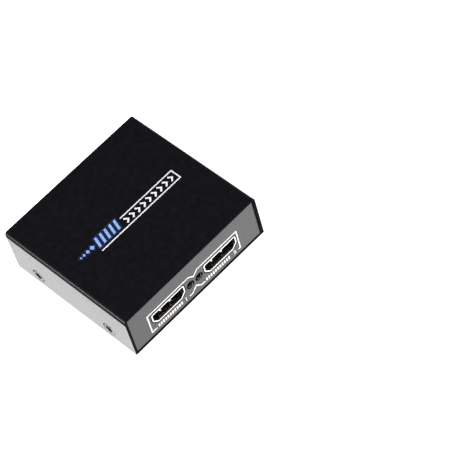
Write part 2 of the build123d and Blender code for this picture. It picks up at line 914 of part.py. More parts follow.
def gull_pins(bases, half_width, thickness, count, pitch, pin_width, reach=chip_pin_reach,
              metal=pin_sheet):
    """Rows of bent pins at the +x side of each base plane."""
    knee = reach - chip_pin_knee
    level = chip_lift + thickness / 2
    planes = [
        pin_plane(base, half_width, along)
        for base in bases
        for along in row_places(count, pitch)
    ]
    with BuildPart() as pins:
        with BuildSketch(*planes):
            bent_strip(
                [
                    (metal / 2, level),
                    (knee - metal, level),
                    (knee - metal, metal / 2),
                    (reach - metal / 2, metal / 2),
                ],
                metal,
            )
        extrude(amount=pin_width / 2, both=True)
    return pins.part


def turned(place, *turns):
    """Base planes at one place on the board, one for each side that has pins."""
    return [board_plane(place, turn) for turn in turns]


# Splitter chip, with pins on all four sides
save("splitter_chip", chip_body(turned(splitter_place, 0), chip_side, chip_side,
                                chip_thickness))
save("splitter_chip_pins", gull_pins(turned(splitter_place, 0, 90, 180, 270),
                                     chip_side / 2, chip_thickness, chip_pins_a_side,
                                     chip_pitch, chip_pin_width))

# Thermal pad and finned heat sink on the splitter chip
chip_plane = board_plane(splitter_place).offset(chip_lift + chip_thickness)
with BuildPart() as thermal_pad:
    with BuildSketch(chip_plane):
        Rectangle(pad_side, pad_side)
    extrude(amount=pad_thickness)
save("thermal_pad", thermal_pad.part)

sink_plane = chip_plane.offset(pad_thickness)
fin_pitch = (sink_side - sink_fin) / (sink_fins - 1)
with BuildPart() as heat_sink:
    with BuildSketch(sink_plane):
        Rectangle(sink_side, sink_side)
    extrude(amount=sink_base)
    with BuildSketch(sink_plane.offset(sink_base)):
        with Locations(*[(place, 0) for place in row_places(sink_fins, fin_pitch)]):
            Rectangle(sink_fin, sink_side)
    extrude(amount=sink_height - sink_base)
save("heat_sink", heat_sink.part)

# Control chip
save("control_chip", chip_body(turned(control_place, 0), control_width, control_depth,
                               control_thickness))
save("control_chip_pins", gull_pins(turned(control_place, 0, 180), control_width / 2,
                                    control_thickness, control_pins_a_side, control_pitch,
                                    control_pin_width))

# Memory chips, one for each video socket
memory_bases = [board_plane(place) for place in memory_places]
memory_sides = [base for place in memory_places for base in turned(place, 0, 180)]
save("memory_chips", chip_body(memory_bases, memory_width, memory_depth, memory_thickness))
save("memory_chip_pins", gull_pins(memory_sides, memory_width / 2, memory_thickness,
                                   memory_pins_a_side, memory_pitch, memory_pin_width))

# Voltage regulators, with three pins on one side and a broad tab on the other
regulator_bases = [board_plane(place) for place in regulator_places]
regulator_tabs = [board_plane(place, 180) for place in regulator_places]
save("voltage_regulators", chip_body(regulator_bases, regulator_width, regulator_depth,
                                     regulator_thickness))
with BuildPart() as voltage_regulator_pins:
    add(gull_pins(regulator_bases, regulator_width / 2, regulator_thickness, regulator_pins,
                  regulator_pitch, regulator_pin_width, regulator_pin_reach,
                  regulator_pin_sheet))
    add(gull_pins(regulator_tabs, regulator_width / 2, regulator_thickness, 1,
                  regulator_pitch, regulator_tab_width, regulator_pin_reach,
                  regulator_pin_sheet))
save("voltage_regulator_pins", voltage_regulator_pins.part)

# Crystal: a flat ceramic case, lengthwise along y, with a metal lid
crystal_plane = board_plane(crystal_place, 90)
with BuildPart() as crystal_base:
    with BuildSketch(crystal_plane):
        RectangleRounded(crystal_base_length, crystal_base_width, crystal_corner)
    extrude(amount=crystal_base_height)
save("crystal_base", crystal_base.part)

with BuildPart() as crystal_can:
    with BuildSketch(crystal_plane.offset(crystal_base_height)):
        RectangleRounded(
            crystal_base_length - 2 * crystal_rim,
            crystal_base_width - 2 * crystal_rim,
            crystal_corner,
        )
    extrude(amount=crystal_height)
    fillet(crystal_can.edges().group_by(Axis.Z)[-1], radius=crystal_edge)
save("crystal_can", crystal_can.part)

# Power inductor: a drum core wound with copper, inside a square shield
inductor_plane = board_plane(inductor_place)
with BuildPart() as inductor_shield:
    with BuildSketch(inductor_plane) as shield_section:
        Rectangle(inductor_side, inductor_side)
        chamfer(shield_section.vertices(), length=inductor_corner)
        Circle(inductor_drum_radius + inductor_drum_gap, mode=Mode.SUBTRACT)
    extrude(amount=inductor_height)
save("inductor_shield", inductor_shield.part)

with BuildPart() as inductor_core:
    with BuildSketch(inductor_plane, inductor_plane.offset(inductor_height - inductor_flange)):
        Circle(inductor_drum_radius)
    extrude(amount=inductor_flange)
    with BuildSketch(inductor_plane):
        Circle(inductor_waist_radius)
    extrude(amount=inductor_height)
save("inductor_core", inductor_core.part)

with BuildPart() as inductor_winding:
    with BuildSketch(inductor_plane.offset(inductor_flange)):
        Circle(inductor_drum_radius - inductor_drum_gap)
        Circle(inductor_waist_radius, mode=Mode.SUBTRACT)
    extrude(amount=inductor_height - 2 * inductor_flange)
save("inductor_winding", inductor_winding.part)

# Input diode, with a bent metal end on each side
diode_plane = board_plane(diode_place)
with BuildPart() as input_diode:
    with BuildSketch(diode_plane.offset(chip_lift)):
        Rectangle(diode_length, diode_width)
    extrude(amount=diode_height)
    chamfer(input_diode.edges().group_by(Axis.Z)[-1], length=chip_edge)
save("input_diode", input_diode.part)

diode_sides = [pin_plane(board_plane(diode_place, turn), diode_length / 2, 0)
               for turn in (0, 180)]
with BuildPart() as input_diode_ends:
    with BuildSketch(*diode_sides):
        Rectangle(diode_end, diode_end_height, align=(Align.MIN, Align.MIN))
    extrude(amount=diode_end_width / 2, both=True)
save("input_diode_ends", input_diode_ends.part)

# Electrolytic capacitors: grooved aluminium cans on square bases
can_planes = [board_plane(place) for place in can_places]
with BuildPart() as electrolytic_bases:
    with BuildSketch(*can_planes):
        RectangleRounded(can_base_side, can_base_side, can_base_corner)
    extrude(amount=can_base_height)
save("electrolytic_bases", electrolytic_bases.part)

with BuildPart() as electrolytic_cans:
    for can_plane in can_planes:
        with BuildSketch(pin_plane(can_plane.offset(can_base_height), 0, 0)):
            with BuildLine():
                Polyline(
                    (0, 0),
                    (can_radius, 0),
                    (can_radius, can_groove_height - can_groove),
                    (can_radius - can_groove, can_groove_height),
                    (can_radius, can_groove_height + can_groove),
                    (can_radius, can_height - can_edge),
                    (can_radius - can_edge, can_height),
                    (0, can_height),
                    close=True,
                )
            make_face()
        revolve(axis=Axis(can_plane.origin, can_plane.z_dir))
save("electrolytic_cans", electrolytic_cans.part)


def small_parts(bases, height):
    """Small two-ended parts, lengthwise along the x direction of each base plane."""
    with BuildPart() as parts:
        with BuildSketch(*bases):
            Rectangle(small_length, small_width)
        extrude(amount=height)
        chamfer(parts.edges().group_by(Axis.Z)[-1], length=small_edge)
    return parts.part


# Resistors in two columns between the front sockets
resistor_bases = [
    board_plane((resistor_x + across, resistor_y + along))
    for across in row_places(resistor_columns, resistor_column_pitch)
    for along in row_places(resistors_a_column, resistor_pitch)
]
save("resistors", small_parts(resistor_bases, resistor_height))

# Ceramic capacitors in a row along the front and back of the splitter chip's heat sink
capacitor_distance = sink_side / 2 + part_gap + small_width / 2
capacitor_bases = [
    board_plane((splitter_place[0] + along, splitter_place[1] + side * capacitor_distance))
    for side in (-1, 1)
    for along in row_places(capacitors_a_side, capacitor_pitch)
]
save("ceramic_capacitors", small_parts(capacitor_bases, capacitor_height))

# Surge arrays, behind each video socket's contact feet
surge_planes = []
for socket_mouth in sockets.values():
    for across in row_places(surge_arrays_a_socket, surge_pitch):
        place = socket_mouth.from_local_coords((across, 0, -surge_depth))
        surge_planes.append(Plane(origin=(place.X, place.Y, board_top)))
with BuildPart() as surge_arrays:
    with BuildSketch(*surge_planes):
        Rectangle(surge_length, surge_width)
    extrude(amount=surge_height)
save("surge_arrays", surge_arrays.part)
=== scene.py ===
"""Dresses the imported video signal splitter: finishes, eased edges, prints, light and camera."""

import logging
import math
from collections.abc import Callable, Iterable, Sequence
from dataclasses import dataclass
from enum import Enum

import bmesh
import bpy
from mathutils import Matrix, Vector

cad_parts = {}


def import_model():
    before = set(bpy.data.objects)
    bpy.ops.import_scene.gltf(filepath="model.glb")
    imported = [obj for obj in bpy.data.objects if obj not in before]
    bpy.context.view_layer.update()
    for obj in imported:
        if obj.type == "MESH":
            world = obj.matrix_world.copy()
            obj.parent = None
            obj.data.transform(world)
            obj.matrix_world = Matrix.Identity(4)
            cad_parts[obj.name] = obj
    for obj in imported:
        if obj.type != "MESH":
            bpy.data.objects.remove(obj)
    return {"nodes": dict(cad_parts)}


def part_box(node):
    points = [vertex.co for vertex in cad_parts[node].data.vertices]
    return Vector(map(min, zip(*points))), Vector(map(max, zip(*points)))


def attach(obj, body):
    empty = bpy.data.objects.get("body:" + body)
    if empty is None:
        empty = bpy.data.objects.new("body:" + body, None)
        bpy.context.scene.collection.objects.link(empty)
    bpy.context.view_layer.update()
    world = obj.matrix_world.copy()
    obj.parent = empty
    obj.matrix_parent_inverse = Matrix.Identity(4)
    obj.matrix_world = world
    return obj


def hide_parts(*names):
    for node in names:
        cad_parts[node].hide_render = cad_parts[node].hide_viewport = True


LOG = logging.getLogger("splitter")
MM = 0.001
# Vertices nearer than this are made one, and so are faces that turn by less than this.
MERGE_MM = 0.002
FLAT_DEGREES = 0.6
# Edges that turn by more than this are rounded.
SHARP_DEGREES = 32.0
# The finishes' patterns: the noise's roughness and octaves, between which of its values colour
# and gloss change, and the size of the lumps in the gloss as a share of the patches'.
NOISE_ROUGHNESS = 0.55
TINT_RANGE = (0.35, 0.7)
TINT_DETAIL = 3.0
GLOSS_RANGE = (0.3, 0.7)
GLOSS_SHARE = 0.6
GLOSS_DETAIL = 2.0
RELIEF_DETAIL = 1.5
# The sharpest mitre of a line, as a cosine.
MITRE_LIMIT = 0.2
# The shading of an edge follows the largest faces alone.
AREA_WEIGHT = 100

Point = tuple[float, float]
Place = tuple[float, float, float]
Outline = Sequence[Point]
Tree = bpy.types.NodeTree
Socket = bpy.types.NodeSocket
Piece = bpy.types.Object
NodeTable = dict[str, Piece]
Solid = bmesh.types.BMesh
Mesh = bpy.types.Mesh
Scoring = Callable[[Solid], None]


def linear(hex_colour: str) -> tuple[float, float, float, float]:
    """Turns an sRGB hex colour into linear red, green, blue and alpha.

    Args:
        hex_colour: Six hex digits.

    Returns:
        The colour as Blender's sockets take it.
    """
    parts = [int(hex_colour[start:start + 2], 16) / 255 for start in (0, 2, 4)]
    curve = [p / 12.92 if p <= 0.04045 else ((p + 0.055) / 1.055) ** 2.4 for p in parts]
    return (curve[0], curve[1], curve[2], 1.0)


def add_node(tree: Tree, kind: str, inputs: dict | None = None,
             **settings: object) -> bpy.types.Node:
    """Adds one node with its settings, socket values and links.

    Args:
        tree: The shader or geometry tree.
        kind: The node's type name.
        inputs: Values or sockets to link from, by the input's name.
        **settings: Properties of the node itself.

    Returns:
        The new node.
    """
    made = tree.nodes.new(kind)
    for name, value in settings.items():
        setattr(made, name, value)
    for name, value in (inputs or {}).items():
        if isinstance(value, Socket):
            tree.links.new(value, made.inputs[name])
        else:
            made.inputs[name].default_value = value
    return made


# Finishes


@dataclass(frozen=True)
class Finish:
    """An opaque finish with patches of colour and gloss and a fine relief."""

    name: str  # The material's common name and how its surface was made.
    colour: str  # Main colour, sRGB hex.
    patch_colour: str  # Colour of the patches that vary it, sRGB hex.
    patch_mm: float  # Size of the patches.
    roughness: float  # Mean roughness.
    swing: float  # How far the roughness swings about its mean.
    grain_mm: float  # Size of the relief's grains.
    depth_mm: float  # Depth of the relief.
    metallic: float = 0.0  # One for bare metal.
    ior: float = 1.5  # Index of refraction, for what isn't metal.
    # Scale of the patterns along each axis, under one for lines that run along it.
    stretch: Place = (1.0, 1.0, 1.0)
    # Strength of the reflections, a half where the surface is whole and clean.
    specular: float = 0.5

    def material(self) -> bpy.types.Material:
        """Builds the material once, and gives the same one afterwards.

        Returns:
            The material.
        """
        made = bpy.data.materials.get(self.name)
        if made is not None:
            return made
        made = bpy.data.materials.new(self.name)
        made.use_nodes = True
        tree = made.node_tree
        tree.nodes.clear()
        seat = add_node(tree, "ShaderNodeTexCoord").outputs["Object"]
        if self.stretch != (1.0, 1.0, 1.0):
            seat = add_node(tree, "ShaderNodeMapping", {
                "Vector": seat, "Scale": self.stretch}).outputs["Vector"]
        shader = add_node(tree, "ShaderNodeBsdfPrincipled", {
            "Base Color": self.tint(tree, seat),
            "Roughness": self.gloss(tree, seat),
            "Normal": self.relief(tree, seat),
            "Metallic": self.metallic,
        })
        if not self.metallic:
            shader.inputs["IOR"].default_value = self.ior
        shader.inputs["Specular IOR Level"].default_value = self.specular
        self.extras(shader)
        add_node(tree, "ShaderNodeOutputMaterial", {"Surface": shader.outputs["BSDF"]})
        return made

    def noise(self, tree: Tree, seat: Socket, size_mm: float, detail: float) -> Socket:
        """Adds a noise with lumps of a real size, and gives its value."""
        made = add_node(tree, "ShaderNodeTexNoise", {
            "Vector": seat, "Scale": 1 / (size_mm * MM), "Detail": detail,
            "Roughness": NOISE_ROUGHNESS})
        return made.outputs["Fac"]

    def tint(self, tree: Tree, seat: Socket) -> Socket:
        """Adds the colour, which drifts between the two colours from patch to patch.

        Args:
            tree: The material's tree.
            seat: Coordinates in metres.

        Returns:
            The colour.
        """
        ramp = add_node(tree, "ShaderNodeValToRGB", {
            "Fac": self.noise(tree, seat, self.patch_mm, TINT_DETAIL)})
        first, last = ramp.color_ramp.elements
        first.position, last.position = TINT_RANGE
        first.color, last.color = linear(self.colour), linear(self.patch_colour)
        return ramp.outputs["Color"]

    def gloss(self, tree: Tree, seat: Socket) -> Socket:
        """Adds the roughness, which swings about its mean."""
        made = add_node(tree, "ShaderNodeMapRange", {
            "Value": self.noise(tree, seat, self.patch_mm * GLOSS_SHARE, GLOSS_DETAIL),
            "From Min": GLOSS_RANGE[0], "From Max": GLOSS_RANGE[1],
            "To Min": self.roughness - self.swing, "To Max": self.roughness + self.swing})
        return made.outputs["Result"]

    def relief(self, tree: Tree, seat: Socket) -> Socket:
        """Adds the fine relief as a bump of a real depth."""
        made = add_node(tree, "ShaderNodeBump", {
            "Height": self.noise(tree, seat, self.grain_mm, RELIEF_DETAIL),
            "Distance": self.depth_mm * MM, "Strength": 1.0})
        return made.outputs["Normal"]

    def extras(self, shader: bpy.types.Node) -> None:
        """Sets what only some finishes have. A plain finish has nothing more."""


@dataclass(frozen=True)
class ClearResin(Finish):
    """Cast resin that light goes through."""

    def extras(self, shader: bpy.types.Node) -> None:
        """Lets the light through."""
        shader.inputs["Transmission Weight"].default_value = 1.0


@dataclass(frozen=True)
class Lacquered(Finish):
    """A finish with a clear glossy coat over it."""

    coat: float = 0.5
    coat_roughness: float = 0.1

    def extras(self, shader: bpy.types.Node) -> None:
        """Adds the coat."""
        shader.inputs["Coat Weight"].default_value = self.coat
        shader.inputs["Coat Roughness"].default_value = self.coat_roughness


@dataclass(frozen=True)
class SolderMask(Finish):
    """Lacquer over copper tracks, which show through as lighter lines."""

    track_colour: str = "2E7A46"  # Colour of the lacquer over copper, sRGB hex.
    track_pitch_mm: float = 1.3  # Pitch of the rows of tracks.
    track_mm: float = 0.16  # Width of a track.
    track_softness: float = 0.1  # Share of a track's width over which its edge fades.
    run_pitches: float = 4.3  # Length of a run between two cross tracks, in pitches.

    def tint(self, tree: Tree, seat: Socket) -> Socket:
        """Adds square runs of tracks over the plain lacquer."""
        plain = super().tint(tree, seat)
        return add_node(tree, "ShaderNodeTexBrick", {
            "Vector": seat, "Color1": plain, "Color2": plain,
            "Mortar": linear(self.track_colour), "Scale": 1.0,
            "Mortar Size": self.track_mm * MM / 2, "Mortar Smooth": self.track_softness,
            "Brick Width": self.track_pitch_mm * MM * self.run_pitches,
            "Row Height": self.track_pitch_mm * MM}).outputs["Color"]


# Stoved satin paint on folded steel: deep black with a soft sheen and a faint orange peel, which
# is drawn about twice as coarse as the real one so that it shows as a slight mottle.
CASE_PAINT = Finish("stoved_satin_black_paint", "0C0C0F", "131218", 2.4, 0.25, 0.025, 0.7, 0.0012)
# Painted shade: black paint that barely reflects, on the sheets' bends and cut ends and on the top
# of the cover's walls, where the case reflects the dark room.
FOLD_PAINTED_SHADE = Finish("painted_shade_black_paint", "09090B", "0E0D11", 1.2, 0.65, 0.06, 0.5, 0.003,
                     specular=0.02)
# Screen printing ink: flat and nearly white, with the slight unevenness of a thin layer.
WHITE_INK = Finish("screen_printed_white_ink", "FBFBFD", "EEEEF3", 0.9, 0.5, 0.06, 0.3, 0.002)
# Screen printing ink: light sky blue, thinner and darker in places.
BLUE_INK = Finish("screen_printed_blue_ink", "9DBEF0", "86AAE6", 0.8, 0.45, 0.06, 0.3, 0.002)
# Screen printing ink: the deep blue ground that the bright marks stand on.
DEEP_BLUE_INK = Finish("screen_printed_deep_blue_ink", "14244F", "101C3E", 0.8, 0.45, 0.06, 0.3,
                       0.002)
# Painted shade: nearly black steel with a dull, uneven sheen, on the screws' recesses and the
# middles of their heads, where the recesses lie in shade.
SCREW_PAINTED_SHADE = Finish("screw_recess_painted_shade", "08080A", "101012", 0.4, 0.6, 0.1, 0.2, 0.004,
                         specular=0.03)
# Lacquer over the screws' heads: black and as glossy as the case.
BLACK_LACQUER = Finish("black_lacquered_steel", "101013", "19191D", 0.5, 0.22, 0.04, 0.2, 0.002)
# Nitrile rubber, moulded: matte, with a faint dusty bloom.
RUBBER = Finish("moulded_nitrile_rubber", "17171A", "222226", 1.2, 0.78, 0.08, 0.25, 0.012)
# Nickel plate on stamped steel: bright and very slightly warm, with soft rolling marks.
NICKEL = Finish("nickel_plated_stamped_steel", "DEDDDA", "C8C7C4", 1.6, 0.17, 0.06, 0.5, 0.0012,
                1.0, stretch=(1.0, 0.35, 1.0))
# Glass-filled plastic, moulded: black with a dull skin.
BLACK_NYLON = Finish("moulded_black_nylon", "0E0E10", "18181B", 0.8, 0.5, 0.08, 0.22, 0.005)
# Polished moulding: black with a wet gloss and a few dull patches.
GLOSS_MOULDING = Finish("moulded_glossy_black_plastic", "0D0D0F", "151518", 1.5, 0.28, 0.06, 0.6,
                        0.0025)
# Gold flash over nickel: a thin, clean yellow metal.
GOLD = Finish("gold_flashed_bronze", "E3B65A", "CC9A44", 0.6, 0.2, 0.05, 0.3, 0.001, 1.0)
# Bright tin on copper alloy: pale, soft and slightly streaky.
TIN = Finish("tinned_copper_lead", "C9C9C6", "AEAEAB", 0.5, 0.3, 0.09, 0.25, 0.003, 1.0)
# Solder: mirror bright where it froze smooth and dull where it grained.
SOLDER = Finish("frozen_solder", "CFD0CF", "A9AAAB", 0.4, 0.22, 0.1, 0.2, 0.004, 1.0)
# Zinc plate on turned steel: bright with a bluish cast.
ZINC = Finish("bright_zinc_plated_steel", "C3C7CC", "A8ACB2", 0.9, 0.26, 0.08, 0.3, 0.002, 1.0)
# Green lacquer over glass cloth laminate: its weave shows as a fine relief.
BOARD = SolderMask("green_solder_mask", "0E4A26", "135A30", 3.0, 0.3, 0.05, 0.45, 0.003)
# Epoxy moulding compound: nearly black, with the fine grain of its silica filler.
EPOXY = Finish("moulded_epoxy_compound", "1A1A1D", "232327", 0.5, 0.55, 0.07, 0.12, 0.004)
# Laser marks: the same epoxy burnt pale and matte.
LASER_MARK = Finish("laser_marked_epoxy", "8D8D90", "747478", 0.2, 0.75, 0.05, 0.08, 0.002)
# Filled silicone pad: soft, pale blue grey and matte.
SILICONE = Finish("filled_silicone_pad", "8E99A8", "7F8998", 1.0, 0.72, 0.06, 0.2, 0.006)
# Black anodising on extruded aluminium: satin with die lines along the fins.
BLACK_ANODISED = Finish("black_anodised_extruded_aluminium", "1D1D21", "2A2A2F", 0.5, 0.42, 0.06,
                        0.2, 0.003, 1.0, stretch=(1.0, 0.08, 1.0))
# Drawn aluminium can: bright, with faint drawing lines up its side.
DRAWN_CAN = Finish("drawn_aluminium_can", "D4D5D7", "BFC0C3", 0.6, 0.25, 0.06, 0.2, 0.002, 1.0,
                   stretch=(1.0, 1.0, 0.15))
# Fired alumina: grey-brown and dull.
ALUMINA = Finish("fired_alumina", "85796A", "756A5D", 0.5, 0.6, 0.06, 0.12, 0.003)
# Pressed ferrite: charcoal, slightly grainy, with a dull glaze.
FERRITE = Finish("pressed_ferrite", "2B2B2E", "38383B", 0.6, 0.5, 0.08, 0.15, 0.006)
# Enamelled winding wire: copper under a clear varnish.
COPPER_WIRE = Lacquered("enamelled_copper_wire", "B4622F", "9A4E22", 0.5, 0.3, 0.06, 0.3, 0.001,
                        1.0)
# Glazed film resistor: a black glassy top.
RESISTOR_GLAZE = Lacquered("glazed_black_resistor", "131315", "1D1D20", 0.4, 0.35, 0.05, 0.2, 0.001)
# Fired dielectric ceramic: fawn brown and faintly speckled.
DIELECTRIC = Finish("fired_dielectric_ceramic", "A17E58", "8B6B49", 0.3, 0.5, 0.06, 0.12, 0.002)
# Smoked cast resin of an unlit lamp: dark at its rim, with its metal cup showing in the middle.
# The index is lower than the real 1.53, so that the dome's face doesn't shine like the panel.
LENS = ClearResin("cast_smoked_resin", "7C8185", "70757A", 2.0, 0.08, 0.02, 1.0, 0.0005, ior=1.22)
# Black sleeve ink on the capacitors' tops.
BLACK_INK = Finish("printed_black_ink", "101012", "1B1B1E", 0.4, 0.45, 0.05, 0.2, 0.001)
# Bare chip in the lamp: pale yellow-green.
LAMP_DIE = Finish("bare_lamp_chip", "C9C68A", "B7B478", 0.2, 0.4, 0.05, 0.1, 0.001)


# Mesh making


@dataclass(frozen=True)
class Face:
    """A flat face of the object that flat work is set out on, in millimetres."""

    origin: Place  # The face's zero.
    across: Place  # Direction of the first coordinate.
    up: Place  # Direction of the second coordinate.

    def point(self, across_mm: float, up_mm: float, out_mm: float = 0.0) -> Vector:
        """Gives the place of a point on or off the face.

        Args:
            across_mm: First coordinate.
            up_mm: Second coordinate.
            out_mm: How far it stands off the face.

        Returns:
            The place, in metres.
        """
        across, up = Vector(self.across), Vector(self.up)
        place = Vector(self.origin) + across * across_mm + up * up_mm
        return (place + across.cross(up) * out_mm) * MM


FLAT = Face((0, 0, 0), (1, 0, 0), (0, 1, 0))


def ring(centre: Point, radius: float, start: float = 0, end: float = 345,
         count: int = 24) -> list[Point]:
    """Gives points round a circle.

    Args:
        centre: The circle's centre.
        radius: Its radius.
        start: Angle of the first point, in degrees.
        end: Angle of the last point.
        count: Number of points.

    Returns:
        The points, from the first to the last.
    """
    angles = [math.radians(start + (end - start) * step / (count - 1)) for step in range(count)]
    return [(centre[0] + radius * math.cos(angle), centre[1] + radius * math.sin(angle))
            for angle in angles]


class Draughts:
    """Collects closed solids in one mesh."""

    def __init__(self) -> None:
        """Starts with nothing."""
        self.solid = bmesh.new()

    def plate(self, face: Face, outline: Outline, low: float, high: float) -> None:
        """Adds a plate with a simple outline, between two levels off a face."""
        self.rings([[face.point(*corner, level) for corner in outline] for level in (low, high)],
                   capped=True)

    def ribbon(self, face: Face, points: Outline, width: float, low: float, high: float,
               closed: bool = False) -> None:
        """Adds a flat line with mitred corners.

        Args:
            face: The face that it lies on.
            points: The line's corners, in millimetres.
            width: The line's width.
            low: Level of its underside off the face.
            high: Level of its top off the face.
            closed: Whether the line runs back to its start.
        """
        places = [Vector(point) for point in points]
        count = len(places)
        sections = []
        for index, place in enumerate(places):
            before = places[index - 1] if index or closed else None
            after = places[(index + 1) % count] if index < count - 1 or closed else None
            runs = [(b - a).normalized() for a, b in ((before, place), (place, after))
                    if a is not None and b is not None]
            normals = [Vector((-run.y, run.x)) for run in runs]
            mitre = sum(normals, Vector((0.0, 0.0))).normalized()
            reach = width / 2 / max(mitre.dot(normals[0]), MITRE_LIMIT)
            sections.append([
                face.point(*(place + mitre * side * reach), level)
                for side, level in ((1, low), (-1, low), (-1, high), (1, high))])
        self.rings(sections, capped=not closed, closed=closed)

    def rings(self, sections: Sequence[Sequence[Vector]], capped: bool,
              closed: bool = False) -> None:
        """Joins sections with the same number of corners into a tube.

        Args:
            sections: The corners of each section, in metres.
            capped: Whether the first and last sections are faces.
            closed: Whether the last section joins the first.
        """
        rows = [[self.solid.verts.new(corner) for corner in section] for section in sections]
        pairs = list(zip(rows, rows[1:])) + ([(rows[-1], rows[0])] if closed else [])
        for first, second in pairs:
            for index in range(len(first)):
                following = (index + 1) % len(first)
                self.solid.faces.new((first[index], first[following],
                                      second[following], second[index]))
        if capped:
            self.solid.faces.new(rows[0])
            self.solid.faces.new(rows[-1])

    def turned(self, face: Face, profile: Outline, segments: int = 32) -> None:
        """Adds a solid turned about a face's axis, from the radius and level of each ring."""
        angles = [2 * math.pi * index / segments for index in range(segments)]
        self.rings([[face.point(radius * math.cos(angle), radius * math.sin(angle), level)
                     for angle in angles] for radius, level in profile], capped=True)

    def mesh(self, name: str, smooth_degrees: float = 30.0) -> Mesh:
        """Closes the work into a mesh with faces outwards.

        Args:
            name: The mesh's name.
            smooth_degrees: Edges that turn by less are shaded smooth.

        Returns:
            The mesh.
        """
        bmesh.ops.recalc_face_normals(self.solid, faces=self.solid.faces)
        shade(self.solid, smooth_degrees)
        made = bpy.data.meshes.new(name)
        self.solid.to_mesh(made)
        self.solid.free()
        return made


def shade(solid: Solid, smooth_degrees: float) -> None:
    """Shades faces smooth and keeps the sharp edges sharp.

    Args:
        solid: The mesh.
        smooth_degrees: Edges that turn by this or more stay sharp.
    """
    for side in solid.faces:
        side.smooth = True
    for edge in solid.edges:
        edge.smooth = edge.is_manifold and edge.calc_face_angle(0.0) < math.radians(smooth_degrees)


def stand(name: str, data: bpy.types.ID) -> Piece:
    """Puts a mesh, a light or a camera in the scene, at the origin.

    Args:
        name: The object's name.
        data: What it shows.

    Returns:
        The object.
    """
    made = bpy.data.objects.new(name, data)
    bpy.context.scene.collection.objects.link(made)
    return made


def baked(piece: Piece) -> Piece:
    """Turns a piece's modifiers into its plain mesh.

    Args:
        piece: The piece.

    Returns:
        The same piece, without modifiers.
    """
    graph = bpy.context.evaluated_depsgraph_get()
    graph.update()
    plain = bpy.data.meshes.new_from_object(piece.evaluated_get(graph))
    piece.modifiers.clear()
    piece.data = plain
    return piece


def eased(source: Piece, name: str, edge_mm: float, segments: int = 3, lowered_mm: float = 0.0,
          score: Scoring | None = None) -> Piece:
    """Copies a CAD mesh with its sharp edges rounded, as forming and plating leave them.

    Args:
        source: The CAD node's object.
        name: The new piece's name.
        edge_mm: Radius of the rounding.
        segments: Facets across a rounding.
        lowered_mm: How far the highest face is lowered, to leave room for the ink on it.
        score: Splits faces where a finish is to end, without changing the shape.

    Returns:
        The new piece.
    """
    solid = bmesh.new()
    solid.from_mesh(source.data)
    bmesh.ops.remove_doubles(solid, verts=solid.verts, dist=MERGE_MM * MM)
    bmesh.ops.dissolve_limit(solid, angle_limit=math.radians(FLAT_DEGREES), verts=solid.verts,
                             edges=solid.edges)
    top = max(vertex.co.z for vertex in solid.verts)
    for vertex in solid.verts:
        if vertex.co.z > top - MERGE_MM * MM:
            vertex.co.z = top - lowered_mm * MM
    if score is not None:
        score(solid)
    shade(solid, SHARP_DEGREES)
    mesh = bpy.data.meshes.new(name)
    solid.to_mesh(mesh)
    solid.free()
    piece = stand(name, mesh)
    bevel = piece.modifiers.new("eased_edges", "BEVEL")
    bevel.width = edge_mm * MM
    bevel.segments = segments
    bevel.limit_method = "ANGLE"
    bevel.angle_limit = math.radians(SHARP_DEGREES)
    bevel.use_clamp_overlap = True
    weight = piece.modifiers.new("flat_faces_stay_flat", "WEIGHTED_NORMAL")
    weight.keep_sharp = False
    weight.weight = AREA_WEIGHT
    return baked(piece)


def open_tree(name: str, **kinds: str) -> tuple[Tree, bpy.types.bpy_prop_collection]:
    """Starts a tree of geometry nodes.

    Args:
        name: The tree's name.
        **kinds: The kind of each input's socket, by the input's name.

    Returns:
        The tree, and the sockets that give its inputs.
    """
    tree = bpy.data.node_groups.new(name, "GeometryNodeTree")
    for title, kind in kinds.items():
        tree.interface.new_socket(title, in_out="INPUT", socket_type=f"NodeSocket{kind}")
    tree.interface.new_socket("Geometry", in_out="OUTPUT", socket_type="NodeSocketGeometry")
    return tree, add_node(tree, "NodeGroupInput").outputs


def close_tree(tree: Tree, geometry: Socket, finish: Socket) -> None:
    """Ends a tree with real copies in one material.

    Args:
        tree: The tree.
        geometry: What it has made.
        finish: The material's socket.
    """
    real = add_node(tree, "GeometryNodeRealizeInstances", {"Geometry": geometry})
    dressed = add_node(tree, "GeometryNodeSetMaterial", {
        "Geometry": real.outputs["Geometry"], "Material": finish})
    add_node(tree, "NodeGroupOutput", {"Geometry": dressed.outputs["Geometry"]})


class Repeat(Enum):
    """Which node tree sets out the copies of a shape."""

    PLACES = "copies_at_places"
    ROW = "copies_in_a_row"


